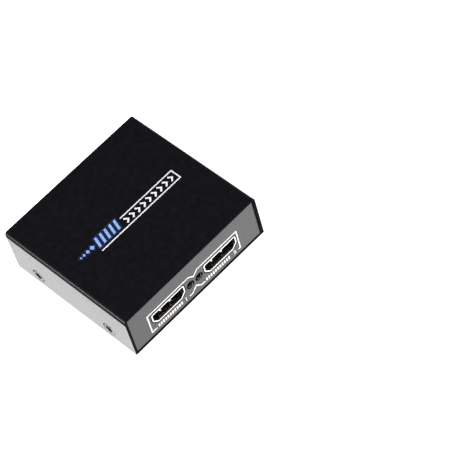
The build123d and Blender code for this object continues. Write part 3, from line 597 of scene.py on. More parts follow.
class Repeater:
    """Geometry nodes that set out copies of one shape."""

    @staticmethod
    def tree(kind: Repeat) -> Tree:
        """Builds a tree once, and returns the same one afterwards.

        Args:
            kind: Copies at the vertices of a mesh, or in a straight row.

        Returns:
            The tree.
        """
        made = bpy.data.node_groups.get(kind.value)
        if made is not None:
            return made
        made, given = open_tree(kind.value, Geometry="Geometry", Shape="Object",
                                Finish="Material", Count="Int", First="Vector", Step="Vector")
        shape = add_node(made, "GeometryNodeObjectInfo", {"Object": given["Shape"]})
        inputs = {"Points": given["Geometry"], "Instance": shape.outputs["Geometry"]}
        if kind is Repeat.ROW:
            inputs["Points"] = add_node(made, "GeometryNodeMeshLine", {
                "Count": given["Count"], "Start Location": given["First"],
                "Offset": given["Step"]}, mode="OFFSET").outputs["Mesh"]
        else:
            facing = add_node(made, "GeometryNodeInputNamedAttribute", {"Name": "facing"},
                              data_type="FLOAT_VECTOR")
            inputs["Rotation"] = add_node(made, "FunctionNodeAlignRotationToVector", {
                "Vector": facing.outputs["Attribute"]}, axis="Z").outputs["Rotation"]
        copies = add_node(made, "GeometryNodeInstanceOnPoints", inputs)
        close_tree(made, copies.outputs["Instances"], given["Finish"])
        return made

    @staticmethod
    def run(name: str, tree: Tree, base: Mesh, values: dict[str, object]) -> Piece:
        """Runs a tree on a base mesh and keeps the result as a plain mesh.

        Args:
            name: The new piece's name.
            tree: The node tree.
            base: The mesh that it starts from.
            values: Values of the tree's inputs, by name.

        Returns:
            The new piece.
        """
        piece = stand(name, base)
        modifier = piece.modifiers.new(name, "NODES")
        modifier.node_group = tree
        for item in tree.interface.items_tree:
            if item.item_type == "SOCKET" and item.in_out == "INPUT" and item.name in values:
                modifier[item.identifier] = values[item.name]
        return baked(piece)

    @classmethod
    def at_places(cls, name: str, shape: Mesh, finish: Finish, places: Iterable[Vector],
                  facings: Iterable[Vector] | None = None) -> Piece:
        """Sets a copy of a shape at each place.

        Args:
            name: The new piece's name.
            shape: The shape, about the origin, facing +Z.
            finish: Its finish.
            places: Places in metres.
            facings: The way that each copy's +Z goes, or None where all go up.

        Returns:
            The new piece.
        """
        spots = list(places)
        ways = list(facings) if facings is not None else [Vector((0, 0, 1))] * len(spots)
        base = bpy.data.meshes.new(name)
        base.from_pydata([tuple(spot) for spot in spots], [], [])
        facing = base.attributes.new("facing", "FLOAT_VECTOR", "POINT")
        for index, way in enumerate(ways):
            facing.data[index].vector = way
        pattern = stand(f"{name}_shape", shape)
        piece = cls.run(name, cls.tree(Repeat.PLACES), base,
                        {"Shape": pattern, "Finish": finish.material()})
        bpy.data.objects.remove(pattern)
        return piece

    @classmethod
    def in_row(cls, name: str, shape: Mesh, finish: Finish, count: int, first: Vector,
               step: Vector) -> Piece:
        """Sets copies of a shape in a straight row.

        Args:
            name: The new piece's name.
            shape: The shape, about the origin, already turned as it lies.
            finish: Its finish.
            count: Number of copies.
            first: Place of the first, in metres.
            step: From one to the next, in metres.

        Returns:
            The new piece.
        """
        pattern = stand(f"{name}_shape", shape)
        piece = cls.run(name, cls.tree(Repeat.ROW), bpy.data.meshes.new(name), {
            "Shape": pattern, "Finish": finish.material(), "Count": count,
            "First": tuple(first), "Step": tuple(step)})
        bpy.data.objects.remove(pattern)
        return piece


# Sub-assemblies


@dataclass
class Assembly:
    """What every sub-assembly shares: the CAD nodes, and how a piece is handed over."""

    nodes: NodeTable  # The CAD nodes by name.
    body: str = "splitter"  # The body that the pieces ride on.

    def hand_over(self, piece: Piece, finish: Finish | None, slot: str, *replaced: str) -> Piece:
        """Gives a piece its finish and its body, and hides the CAD nodes that it stands for.

        Args:
            piece: The piece.
            finish: Its finish, or None where the piece already has one.
            slot: The record's material slot; not used.
            *replaced: CAD nodes that it stands for.

        Returns:
            The piece.
        """
        if finish is not None:
            piece.data.materials.clear()
            piece.data.materials.append(finish.material())
        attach(piece, self.body)
        if replaced:
            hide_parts(*replaced)
        LOG.info("%s: %d faces", piece.name, len(piece.data.polygons))
        return piece

    def ease(self, node: str, name: str, edge_mm: float, finish: Finish, slot: str,
             segments: int = 3, lowered_mm: float = 0.0, score: Scoring | None = None) -> Piece:
        """Replaces a CAD node by its copy with rounded edges."""
        piece = eased(self.nodes[node], name, edge_mm, segments, lowered_mm, score)
        return self.hand_over(piece, finish, slot, node)

    def dress(self, finish: Finish, *names: str) -> None:
        """Gives CAD nodes that stay their finish.

        Args:
            finish: The finish.
            *names: The nodes.
        """
        for name in names:
            for slot in self.nodes[name].material_slots:
                slot.material = finish.material()
            LOG.info("%s: %s", name, finish.name)


@dataclass
class Case(Assembly):
    """The folded steel case, its screws and its feet."""

    fold_edge_mm: float = 0.16  # Rounding of the sheet's cut edges, with the paint on them.
    screw_edge_mm: float = 0.07  # Rounding of the screws' heads and recesses.
    foot_edge_mm: float = 0.15  # Rounding of the feet.
    cut_mm: float = 0.12  # Faces nearer than this to the cover's ends are its cut edges.
    # How far under the top the cover's walls carry the bend's painted shade.
    reach_mm: float = 2.4
    # Painted shade: the dark middle of a screw's head stands for the shade of its recess.
    core_mm: float = 1.5  # Half the width of the dark middle of a screw's head.
    core_sides: int = 8  # Number of sides of that middle.
    recess_mm: float = 0.06  # Faces deeper than this in a screw's head are its recess.
    bend_lean: float = 0.07  # Lean of a face, as a sine, from which it counts as part of a bend.
    # Upward lean of the flatter part of a bend, which keeps the case's paint and gets no painted
    # shade.
    steep_lean: float = 0.45

    def build(self) -> None:
        """Builds the case's pieces."""
        cover = self.ease("top_cover", "painted_cover", self.fold_edge_mm, CASE_PAINT,
                          "case_paint", lowered_mm=Prints.ink_mm, score=self.score_walls)
        tray = self.ease("base_tray", "painted_tray", self.fold_edge_mm, CASE_PAINT, "case_paint")
        self.paint_shade_on_folds(cover, "top_cover")
        self.paint_shade_on_folds(tray, "base_tray")
        screws = self.ease("side_screws", "countersunk_side_screws", self.screw_edge_mm,
                           BLACK_LACQUER, "black_screw", 2, score=self.score_heads)
        self.paint_shade_in_recesses(screws)
        self.ease("rubber_feet", "moulded_feet", self.foot_edge_mm, RUBBER, "rubber")

    def paint_shade_on_folds(self, sheet: Piece, node: str) -> None:
        """Paints shade on a sheet: its bends and cut ends, and the top of the cover's walls, get
        the black paint that barely reflects.

        Args:
            sheet: The sheet's piece.
            node: The CAD node that it stands for.
        """
        sheet.data.materials.append(FOLD_PAINTED_SHADE.material())
        low, high = (Vector(corner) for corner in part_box(node))
        cut_ends = node == "top_cover"
        for side in sheet.data.polygons:
            way, place = side.normal, side.center
            cut = cut_ends and self.cut_mm * MM > min(
                place.y - low.y, high.y - place.y, place.z - low.z)
            leans = sorted(abs(part) for part in way)
            bend = leans[1] > self.bend_lean and way.z < self.steep_lean
            under_bend = (cut_ends and leans[1] <= self.bend_lean and abs(way.x) > self.steep_lean
                          and place.z > high.z - self.reach_mm * MM)
            side.material_index = int(cut or bend or under_bend)

    def score_walls(self, sheet: Solid) -> None:
        """Splits the cover's walls where the bend's painted shade ends."""
        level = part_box("top_cover")[1][2] - self.reach_mm * MM
        bmesh.ops.bisect_plane(sheet, geom=sheet.verts[:] + sheet.edges[:] + sheet.faces[:],
                               plane_co=(0, 0, level), plane_no=(0, 0, 1))

    def score_heads(self, screws: Solid) -> None:
        """Splits each screw head's face along the outline of its painted shade.

        Args:
            screws: The screws' mesh.
        """
        back, height = self.screw_seat()
        for end in (-1, 1):
            for turn in range(self.core_sides):
                angle = 2 * math.pi * turn / self.core_sides
                way = Vector((0, math.cos(angle), math.sin(angle)))
                seat = Vector((0, end * back, height)) + way * self.core_mm * MM
                near = [part for kind in (screws.verts, screws.edges, screws.faces)
                        for part in kind
                        if end * (part.co if isinstance(part, bmesh.types.BMVert)
                                  else part.verts[0].co).y > 0]
                bmesh.ops.bisect_plane(screws, geom=near, plane_co=seat, plane_no=way)

    def screw_seat(self) -> Point:
        """Finds the side screws' axes.

        Returns:
            How far before and behind the middle they are, and their height, in metres.
        """
        low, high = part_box("side_screws")
        height = (low[2] + high[2]) / 2
        return high[1] - (high[2] - low[2]) / 2, height

    def paint_shade_in_recesses(self, screws: Piece) -> None:
        """Paints shade on the heads' recesses and middles with the near-black steel.

        Args:
            screws: The screws' piece.
        """
        screws.data.materials.append(SCREW_PAINTED_SHADE.material())
        _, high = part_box("side_screws")
        back, height = self.screw_seat()
        for side in screws.data.polygons:
            place = side.center
            off_axis = math.hypot(abs(place.y) - back, place.z - height)
            deep = high[0] - abs(place.x) > self.recess_mm * MM
            side.material_index = int(deep or off_axis < self.core_mm * MM)


@dataclass
class Prints(Assembly):
    """Screen printed marks on the case: rules, arrowheads, bars, lozenges, dashes and numerals."""

    ink_mm: float = 0.02  # How far the ink stands off the paint.
    sunk_mm: float = 0.03  # How far a mark's underside lies in the paint.
    rule_mm: float = 0.45  # Width of the rules.
    arrow_mm: float = 0.62  # Width of the arrowheads' strokes.
    arrow_pitch_mm: float = 2.56  # Pitch of the arrowheads.
    arrow_count: int = 9  # Number of arrowheads.
    # Lower left corner of each bar.
    bar_starts_mm: tuple[float, ...] = (-14.6, -12.45, -10.3, -8.15, -6.0)
    bar_mm: float = 0.95  # Width of a bar.
    bar_lean_mm: float = 1.2  # How far a bar's upper end lies to the right of its lower one.
    bar_span_mm: Point = (-1.5, 2.6)  # Levels of a bar's lower and upper end.
    bar_ground_mm: float = 0.62  # How far the bars' ground reaches beyond them.
    # Place and half the width of each lozenge.
    lozenges_mm: tuple[Point, ...] = ((-16.2, 0.95), (-18.2, 0.75), (-19.9, 0.58), (-21.3, 0.42))
    lozenge_level_mm: float = 0.5  # Level of the lozenges' middles.
    lozenge_ground_mm: float = 0.8  # How far the lozenges' ground reaches beyond them.
    ground_share: float = 0.5  # Thickness of the ground, as a share of the ink's.
    dash_mm: Point = (0.31, 0.72)  # Half the width and height of a dash.
    dash_pitch_mm: float = 1.05  # Pitch of the dashes.
    dash_count: int = 11  # Number of dashes in a row.
    dash_level_mm: float = 3.45  # Level of the rows' middle.
    # Name and start of each row of dashes.
    dash_rows: tuple[tuple[str, float], ...] = (("marks_1", -18.2), ("marks_2", 4.0))
    numeral_mm: float = 2.3  # Size of the numerals.
    numeral_swell_mm: float = 0.03  # How much bolder they are than the plain letter form.
    numeral_level_mm: float = 2.65  # Level of their foot.
    # Each numeral and its place across.
    numeral_places: tuple[tuple[str, float], ...] = (("1", -5.7), ("2", 17.2))
    sign_mm: float = 0.25  # Width of the lines in the jack's polarity sign.
    sign_places_mm: Place = (20.0, 22.3, 24.6)  # Places across of its minus, its dot and its plus.
    sign_level_mm: float = 4.2  # Level of the sign's middle.
    sign_ring_mm: float = 0.95  # Radius of the rings round its minus and its plus.
    sign_cup_mm: float = 0.85  # Radius of the open ring round its dot.
    sign_stroke_mm: float = 0.5  # Half the length of the minus and the plus.
    sign_dot_mm: float = 0.38  # Radius of the dot.
    sign_lead_mm: float = 21.5  # Place across where the lead from the minus ends.
    # The cover's top, lowered by the ink's thickness.
    top: Face = Face((0, 0, 21.18), (1, 0, 0), (0, 1, 0))
    front: Face = Face((0, -27.9, 1.2), (1, 0, 0), (0, 0, 1))  # The front panel's outer face.
    back: Face = Face((0, 27.9, 1.2), (-1, 0, 0), (0, 0, 1))  # The back panel's outer face.

    def build(self) -> None:
        """Builds every mark."""
        self.top_frame()
        self.top_arrows()
        self.top_bars()
        self.front_outline()
        self.mark_rows()
        self.numerals()
        self.back_symbols()

    def add_line(self, work: Draughts, face: Face, points: Outline, width: float,
                 closed: bool = False) -> None:
        """Adds one printed line to a piece of work."""
        work.ribbon(face, points, width, -self.sunk_mm, self.ink_mm, closed)

    def add_patch(self, work: Draughts, face: Face, outline: Outline, share: float = 1.0) -> None:
        """Adds one printed patch, with a share of the ink's thickness, to a piece of work."""
        work.plate(face, outline, -self.sunk_mm, self.ink_mm * share)

    def finish_work(self, work: Draughts, name: str, ink: Finish = WHITE_INK) -> None:
        """Hands over a piece of work as one printed piece."""
        self.hand_over(stand(name, work.mesh(name)), ink, "case_paint")

    def top_frame(self) -> None:
        """The open frame of rules on the top."""
        work = Draughts()
        self.add_line(work, self.top, [(-15.0, -3.0), (21.3, -3.0), (21.3, 1.4), (-2.6, 1.4)],
                      self.rule_mm)
        self.finish_work(work, "top_rules")

    def top_arrows(self) -> None:
        """A row of arrowheads inside the frame, which show the way of the signal."""
        work = Draughts()
        self.add_line(work, FLAT, [(-0.7, 1.15), (0.45, 0.0), (-0.7, -1.15)], self.arrow_mm)
        row = Repeater.in_row("top_arrows", work.mesh("arrowhead"), WHITE_INK, self.arrow_count,
                              self.top.point(-1.3, -0.8),
                              Vector((self.arrow_pitch_mm, 0, 0)) * MM)
        self.hand_over(row, None, "case_paint")

    def top_bars(self) -> None:
        """Slanted blue bars on a deeper ground, and a line of lozenges that dies away."""
        ground, bars = Draughts(), Draughts()
        lean, level = self.bar_lean_mm, self.lozenge_level_mm
        for start in self.bar_starts_mm:
            for work, grown, share in ((ground, self.bar_ground_mm, self.ground_share),
                                       (bars, 0.0, 1.0)):
                left, right = start - grown, start + self.bar_mm + grown
                foot, head = self.bar_span_mm[0] - grown, self.bar_span_mm[1] + grown
                self.add_patch(work, self.top, [(left, foot), (right, foot), (right + lean, head),
                                                (left + lean, head)], share)
        for across, half in self.lozenges_mm:
            for work, grown, share in ((ground, self.lozenge_ground_mm, self.ground_share),
                                       (bars, 0.0, 1.0)):
                reach = half + grown
                self.add_patch(work, self.top, [(across, level - reach), (across + reach, level),
                                                (across, level + reach), (across - reach, level)],
                               share)
        self.finish_work(ground, "bar_ground", DEEP_BLUE_INK)
        self.finish_work(bars, "bars", BLUE_INK)

    def front_outline(self) -> None:
        """The line round both sockets, open low down where the rows of marks stand."""
        work = Draughts()
        self.add_line(work, self.front, [
            (-19.2, 3.2), (-21.45, 3.2), (-21.45, 12.0), (-2.5, 12.0), (-0.5, 10.4),
            (1.4, 12.15), (19.8, 12.15), (19.8, 3.2), (18.9, 3.2)], self.rule_mm)
        self.add_line(work, self.front, [(-4.1, 3.2), (-2.7, 3.2), (-0.5, 5.2), (1.5, 3.2),
                                         (3.2, 3.2)], self.rule_mm)
        self.finish_work(work, "front_outline")

    def mark_rows(self) -> None:
        """A row of small upright dashes before each output's numeral."""
        work = Draughts()
        wide, tall = self.dash_mm
        self.add_patch(work, self.front, [(-wide, -tall), (wide, -tall), (wide, tall),
                                          (-wide, tall)])
        dash = work.mesh("dash")
        dash.transform(Matrix.Translation(-self.front.point(0, 0)))
        for name, first in self.dash_rows:
            row = Repeater.in_row(name, dash.copy(), WHITE_INK, self.dash_count,
                                  self.front.point(first, self.dash_level_mm),
                                  Vector((self.dash_pitch_mm, 0, 0)) * MM)
            self.hand_over(row, None, "case_paint")

    def numerals(self) -> None:
        """A plain numeral for each output, at the end of its row of dashes."""
        for number, across in self.numeral_places:
            curve = bpy.data.curves.new(f"numeral_{number}", "FONT")
            curve.body = number
            curve.size = self.numeral_mm * MM
            curve.align_x = "CENTER"
            curve.extrude = (self.ink_mm + self.sunk_mm) / 2 * MM
            curve.offset = self.numeral_swell_mm * MM
            text = bpy.data.objects.new("numeral_text", curve)
            mesh = bpy.data.meshes.new_from_object(text)
            bpy.data.objects.remove(text)
            turn = Matrix((self.front.across, self.front.up,
                           Vector(self.front.across).cross(Vector(self.front.up)))).transposed()
            place = self.front.point(across, self.numeral_level_mm,
                                     (self.ink_mm - self.sunk_mm) / 2)
            mesh.transform(Matrix.Translation(place) @ turn.to_4x4())
            self.hand_over(stand(f"numeral_{number}", mesh), WHITE_INK, "case_paint")

    def back_symbols(self) -> None:
        """An arrow into the input socket, and the jack's polarity sign."""
        work = Draughts()
        self.add_line(work, self.back, [(-9.5, 15.3), (-9.5, 13.2)], 2 * self.sign_mm)
        self.add_patch(work, self.back, [(-10.6, 13.3), (-9.5, 12.0), (-8.4, 13.3)])
        (minus, dot, plus), level = self.sign_places_mm, self.sign_level_mm
        rim, half = self.sign_ring_mm, self.sign_stroke_mm
        for centre in (minus, plus):
            self.add_line(work, self.back, ring((centre, level), rim), self.sign_mm, closed=True)
        for line in ([(minus - half, level), (minus + half, level)],
                     [(plus - half, level), (plus + half, level)],
                     [(plus, level - half), (plus, level + half)],
                     [(minus + rim, level), (self.sign_lead_mm, level)],
                     [(dot, level), (plus - rim, level)],
                     ring((dot, level), self.sign_cup_mm, 50, 310, 13)):
            self.add_line(work, self.back, line, self.sign_mm)
        self.add_patch(work, self.back, ring((dot, level), self.sign_dot_mm))
        self.finish_work(work, "back_symbols")


@dataclass
class VideoSocket(Assembly):
    """One video socket: its sleeve, moulded block and contacts."""

    label: str = "input"  # The CAD names' first part.
    sleeve_edge_mm: float = 0.06  # Rounding of the stamped sleeve's edges.
    lip_mm: float = 0.2  # How far back from the mouth the lip is drawn out.
    drawn_mm: float = 0.5  # How far the lip is drawn out, so that it is flush with the panel.
    block_edge_mm: float = 0.07  # Rounding of the moulded block's edges.

    def build(self) -> None:
        """Builds the socket's pieces."""
        sleeve = self.ease(f"{self.label}_shell", f"{self.label}_sleeve", self.sleeve_edge_mm,
                           NICKEL, "socket_shell", 2)
        self.draw_out(sleeve)
        self.ease(f"{self.label}_insulator", f"{self.label}_block", self.block_edge_mm,
                  BLACK_NYLON, "socket_moulding", 2)
        self.dress(GOLD, f"{self.label}_contacts")

    def draw_out(self, sleeve: Piece) -> None:
        """Moves the mouth of the sleeve's lip outwards.

        Args:
            sleeve: The sleeve's piece.
        """
        mouth = max(abs(vertex.co.y) for vertex in sleeve.data.vertices)
        for vertex in sleeve.data.vertices:
            if abs(vertex.co.y) > mouth - self.lip_mm * MM:
                vertex.co.y += math.copysign(self.drawn_mm * MM, vertex.co.y)


@dataclass
class Lamps(Assembly):
    """The three round lights, unlit, with what shows inside their lenses."""

    holder_edge_mm: float = 0.15  # Rounding of the moulded holders.
    cup_depth_mm: float = 2.3  # How far the reflector cup's rim lies behind the lens's tip.
    # The cup and the post under it, as radius and level of each ring.
    cup_profile: Outline = ((0.03, -0.28), (0.28, -0.28), (0.5, 0.0), (0.58, 0.0), (0.58, -0.7),
                            (0.25, -0.9), (0.25, -2.6), (0.03, -2.6))
    # The other leg's post: left and right, front and back, bottom and top.
    post_mm: tuple[Point, ...] = ((0.75, 1.05), (-0.3, 0.3), (-2.6, -0.1))
    # Half the chip's side, and the levels of its underside and top.
    die_mm: Place = (0.16, -0.28, -0.14)

    def build(self) -> None:
        """Builds the lights' pieces."""
        self.dress(LENS, "output_1_light", "output_2_light", "power_light")
        self.dress(TIN, "light_legs")
        for end in ("front", "power"):
            self.ease(f"{end}_light_holder", f"{end}_lamp_block", self.holder_edge_mm,
                      BLACK_NYLON, "light_holder")
        places, ways = [], []
        for node in ("output_1_light", "output_2_light", "power_light"):
            low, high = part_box(node)
            way = 1.0 if node == "power_light" else -1.0
            tip = high[1] if way > 0 else low[1]
            places.append(Vector(((low[0] + high[0]) / 2, tip - way * self.cup_depth_mm * MM,
                                  (low[2] + high[2]) / 2)))
            ways.append(Vector((0, way, 0)))
        cup = Draughts()
        cup.turned(FLAT, self.cup_profile, 24)
        (left, right), (front, back), levels = self.post_mm
        cup.plate(FLAT, [(left, front), (right, front), (right, back), (left, back)], *levels)
        self.hand_over(Repeater.at_places("lamp_cups", cup.mesh("cup"), TIN, places, ways), None,
                       "tinned_leg")
        die = Draughts()
        half, *levels = self.die_mm
        die.plate(FLAT, [(-half, -half), (half, -half), (half, half), (-half, half)], *levels)
        self.hand_over(Repeater.at_places("lamp_dies", die.mesh("die"), LAMP_DIE, places, ways),
                       None, "tinned_leg")


@dataclass
class PowerJack(Assembly):
    """The barrel jack at the back, with its leaf spring."""

    housing_edge_mm: float = 0.12  # Rounding of the moulded housing.
    pin_edge_mm: float = 0.06  # Rounding of the centre pin.

    def build(self) -> None:
        """Builds the jack's pieces."""
        self.ease("power_jack_housing", "jack_housing_moulding", self.housing_edge_mm,
                  GLOSS_MOULDING, "jack_moulding")
        self.ease("power_jack_pin", "jack_centre_pin", self.pin_edge_mm, NICKEL, "jack_metal", 2)
        self.dress(NICKEL, "power_jack_spring", "power_jack_spring_terminal",
                   "power_jack_switch_contact")


@dataclass
class Board(Assembly):
    """The circuit board with its parts, inside the case."""

    via_mm: float = 0.32  # Radius of a stitching via's pad.
    via_sides: int = 12  # Sides of the pad.
    via_pitch_mm: float = 2.54  # Pitch of the vias round the board's edge.
    via_inset_mm: float = 0.9  # How far in from the edge they are.
    pad_mm: float = 0.05  # Thickness of their pads, half of it in the board.
    wire_mm: float = 0.17  # Radius of the inductor's wire.
    wire_sides: int = 8  # Sides of the wire.
    turn_sides: int = 28  # Straight lengths in a turn.
    turn_pitch: float = 2.05  # Pitch of its turns, in radii of the wire.
    layer_step: float = 1.75  # How much further in its second layer lies, in radii of the wire.
    cap_mm: float = 0.3  # Length of the tinned end of a small two-ended part.
    plate_mm: float = 0.02  # Thickness of the tin on it.
    cap_lift_mm: float = 0.01  # How far the tin starts above the part's underside.
    # The mark at a chip's first pin, as radius and level of each ring.
    mark_profile: Outline = ((0.02, -0.02), (0.3, -0.02), (0.3, 0.01), (0.02, 0.01))
    mark_inset_mm: float = 0.8  # How far in from the chip's edges that mark is.
    segment_mm: float = 1.5  # Radius of the segment on a capacitor's top.
    segment_degrees: Point = (125, 235)  # Angles where its arc starts and ends.
    segment_levels_mm: Point = (-0.01, 0.015)  # Levels of its underside and top.
    # A cone of solder, as radius and level of each ring.
    joint_profile: Outline = ((0.02, 0.01), (0.62, 0.01), (0.55, -0.08), (0.36, -0.22),
                              (0.29, -0.5), (0.02, -0.52))
    joint_back_mm: float = 0.25  # How far a leg's axis is from the inner end of its bent wire.

    def build(self) -> None:
        """Builds and dresses the board's pieces."""
        self.dress(BOARD, "circuit_board")
        self.dress(ZINC, "board_standoffs", "board_screws")
        self.dress(EPOXY, "splitter_chip", "control_chip", "memory_chips", "voltage_regulators",
                   "input_diode", "surge_arrays")
        self.dress(TIN, "splitter_chip_pins", "control_chip_pins", "memory_chip_pins",
                   "voltage_regulator_pins", "input_diode_ends")
        self.dress(SILICONE, "thermal_pad")
        self.dress(BLACK_ANODISED, "heat_sink")
        self.dress(ALUMINA, "crystal_base")
        self.dress(DRAWN_CAN, "crystal_can", "electrolytic_cans")
        self.dress(BLACK_NYLON, "electrolytic_bases")
        self.dress(FERRITE, "inductor_shield", "inductor_core")
        self.dress(RESISTOR_GLAZE, "resistors")
        self.dress(DIELECTRIC, "ceramic_capacitors")
        self.stitching_vias()
        self.winding()
        self.end_caps("resistors", "resistor_ends", "resistor")
        self.end_caps("ceramic_capacitors", "capacitor_ends", "capacitor")
        self.pin_marks()
        self.can_marks()
        self.solder_joints()

    def islands(self, node: str) -> list[tuple[Vector, Vector]]:
        """Gives the lowest and highest corner of each separate solid of a node.

        Args:
            node: The CAD node.

        Returns:
            A pair of corners for each solid, in metres, from left to right.
        """
        solid = bmesh.new()
        solid.from_mesh(self.nodes[node].data)
        bmesh.ops.remove_doubles(solid, verts=solid.verts, dist=MERGE_MM * MM)
        left, found = set(solid.verts), []
        while left:
            group, edge = set(), [left.pop()]
            while edge:
                vertex = edge.pop()
                group.add(vertex)
                near = {line.other_vert(vertex) for line in vertex.link_edges} & left
                left -= near
                edge.extend(near)
            corners = [vertex.co for vertex in group]
            found.append((Vector([min(c[axis] for c in corners) for axis in range(3)]),
                          Vector([max(c[axis] for c in corners) for axis in range(3)])))
        solid.free()
        return sorted(found, key=lambda pair: tuple(round(value, 6) for value in pair[0]))

    def stitching_vias(self) -> None:
        """Small plated pads that follow the board's edge, on its top."""
        low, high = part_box("circuit_board")
        tree, given = open_tree(
            "vias_round_the_edge", Geometry="Geometry", Width="Float", Depth="Float",
            Level="Float", Pitch="Float", Radius="Float", Thickness="Float", Finish="Material")
        border = add_node(tree, "GeometryNodeCurvePrimitiveQuadrilateral", {
            "Width": given["Width"], "Height": given["Depth"]})
        points = add_node(tree, "GeometryNodeCurveToPoints", {
            "Curve": border.outputs["Curve"], "Length": given["Pitch"]}, mode="LENGTH")
        pad = add_node(tree, "GeometryNodeMeshCylinder", {
            "Vertices": self.via_sides, "Radius": given["Radius"],
            "Depth": given["Thickness"]})
        copies = add_node(tree, "GeometryNodeInstanceOnPoints", {
            "Points": points.outputs["Points"], "Instance": pad.outputs["Mesh"]})
        lift = add_node(tree, "ShaderNodeCombineXYZ", {"Z": given["Level"]})
        moved = add_node(tree, "GeometryNodeTransform", {
            "Geometry": copies.outputs["Instances"], "Translation": lift.outputs["Vector"]})
        close_tree(tree, moved.outputs["Geometry"], given["Finish"])
        inset = self.via_inset_mm * MM
        piece = Repeater.run("stitching_vias", tree, bpy.data.meshes.new("stitching_vias"), {
            "Width": high[0] - low[0] - 2 * inset, "Depth": high[1] - low[1] - 2 * inset,
            "Level": high[2], "Pitch": self.via_pitch_mm * MM, "Radius": self.via_mm * MM,
            "Thickness": self.pad_mm * MM, "Finish": TIN.material()})
        self.hand_over(piece, None, "tinned_leg")

    def winding(self) -> None:
        """Turns of enamelled wire on the inductor's drum, in two layers."""
        low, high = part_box("inductor_winding")
        tree, given = open_tree(
            "wound_turns", Geometry="Geometry", Turns="Float", Outer="Float", Inner="Float",
            Height="Float", Wire="Float", Finish="Material")
        section = add_node(tree, "GeometryNodeCurvePrimitiveCircle", {
            "Resolution": self.wire_sides, "Radius": given["Wire"]})
        joined = add_node(tree, "GeometryNodeJoinGeometry")
        for layer in ("Outer", "Inner"):
            helix = add_node(tree, "GeometryNodeCurveSpiral", {
                "Resolution": self.turn_sides, "Rotations": given["Turns"],
                "Start Radius": given[layer], "End Radius": given[layer],
                "Height": given["Height"]})
            wire = add_node(tree, "GeometryNodeCurveToMesh", {
                "Curve": helix.outputs["Curve"], "Profile Curve": section.outputs["Curve"],
                "Fill Caps": True})
            tree.links.new(wire.outputs["Mesh"], joined.inputs["Geometry"])
        close_tree(tree, joined.outputs["Geometry"], given["Finish"])
        outer = (high[0] - low[0]) / 2 - self.wire_mm * MM
        height = high[2] - low[2] - 2 * self.wire_mm * MM
        piece = Repeater.run("inductor_turns", tree, bpy.data.meshes.new("inductor_turns"), {
            "Turns": height / (self.turn_pitch * self.wire_mm * MM), "Outer": outer,
            "Inner": outer - self.layer_step * self.wire_mm * MM, "Height": height,
            "Wire": self.wire_mm * MM, "Finish": COPPER_WIRE.material()})
        piece.data.transform(Matrix.Translation((
            (low[0] + high[0]) / 2, (low[1] + high[1]) / 2, low[2] + self.wire_mm * MM)))
        for side in piece.data.polygons:
            side.use_smooth = True
        self.hand_over(piece, None, "copper", "inductor_winding")

    def end_caps(self, node: str, name: str, slot: str) -> None:
        """Tinned ends on the small two-ended parts.

        Args:
            node: The CAD node of the parts.
            name: The new piece's name.
            slot: The record's slot of the parts.
        """
        parts = self.islands(node)
        low, high = parts[0]
        half = (high - low) / 2 / MM
        cap, grown = self.cap_mm, self.plate_mm
        work = Draughts()
        work.plate(FLAT, [
            (-cap / 2, -half.y - grown), (cap / 2, -half.y - grown),
            (cap / 2, half.y + grown), (-cap / 2, half.y + grown)],
            -half.z + self.cap_lift_mm, half.z + grown)
        places = []
        for low, high in parts:
            middle = (low + high) / 2
            for side in (-1, 1):
                places.append(middle + Vector((side * (half.x - cap / 2 + grown) * MM, 0, 0)))
        piece = Repeater.at_places(name, work.mesh("cap"), TIN, places)
        self.hand_over(piece, None, slot)

    def pin_marks(self) -> None:
        """The round mark at the first pin of each chip."""
        work = Draughts()
        work.turned(FLAT, self.mark_profile, 16)
        places = []
        for node in ("control_chip", "memory_chips"):
            for low, high in self.islands(node):
                places.append(Vector((low.x + self.mark_inset_mm * MM,
                                      low.y + self.mark_inset_mm * MM, high.z)))
        piece = Repeater.at_places("first_pin_marks", work.mesh("mark"), LASER_MARK, places)
        self.hand_over(piece, None, "chip_moulding")

    def can_marks(self) -> None:
        """The black segment that marks each electrolytic capacitor's negative side."""
        work = Draughts()
        work.plate(FLAT, ring((0, 0), self.segment_mm, *self.segment_degrees, 12),
                   *self.segment_levels_mm)
        places = [Vector(((low.x + high.x) / 2, (low.y + high.y) / 2, high.z))
                  for low, high in self.islands("electrolytic_cans")]
        piece = Repeater.at_places("can_marks", work.mesh("segment"), BLACK_INK, places)
        self.hand_over(piece, None, "can_metal")

    def solder_joints(self) -> None:
        """Cones of solder under the board, where the lights' legs come through."""
        low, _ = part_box("circuit_board")
        work = Draughts()
        work.turned(FLAT, self.joint_profile, 16)
        places = []
        for near, far in self.islands("light_legs"):
            end, inner = (near.y, far.y) if near.y < 0 else (far.y, near.y)
            leg = inner - math.copysign(self.joint_back_mm * MM, inner - end)
            places.append(Vector(((near.x + far.x) / 2, leg, low[2])))
        piece = Repeater.at_places("solder_joints", work.mesh("joint"), SOLDER, places)
        self.hand_over(piece, None, "tinned_leg")


# Studio


@dataclass(frozen=True)
class SoftLight:
    """A soft square light that faces the object."""

    name: str  # The light's name.
    place: Place  # Where it hangs, in metres.
    side_m: float  # Its side.
    watts: float  # Its power.

    def hang(self) -> None:
        """Hangs the light in the scene."""
        data = bpy.data.lights.new(self.name, "AREA")
        data.shape = "SQUARE"
        data.size = self.side_m
        data.energy = self.watts
        lamp = stand(self.name, data)
        lamp.location = self.place
        lamp.rotation_euler = (-Vector(self.place)).to_track_quat("-Z", "Y").to_euler()


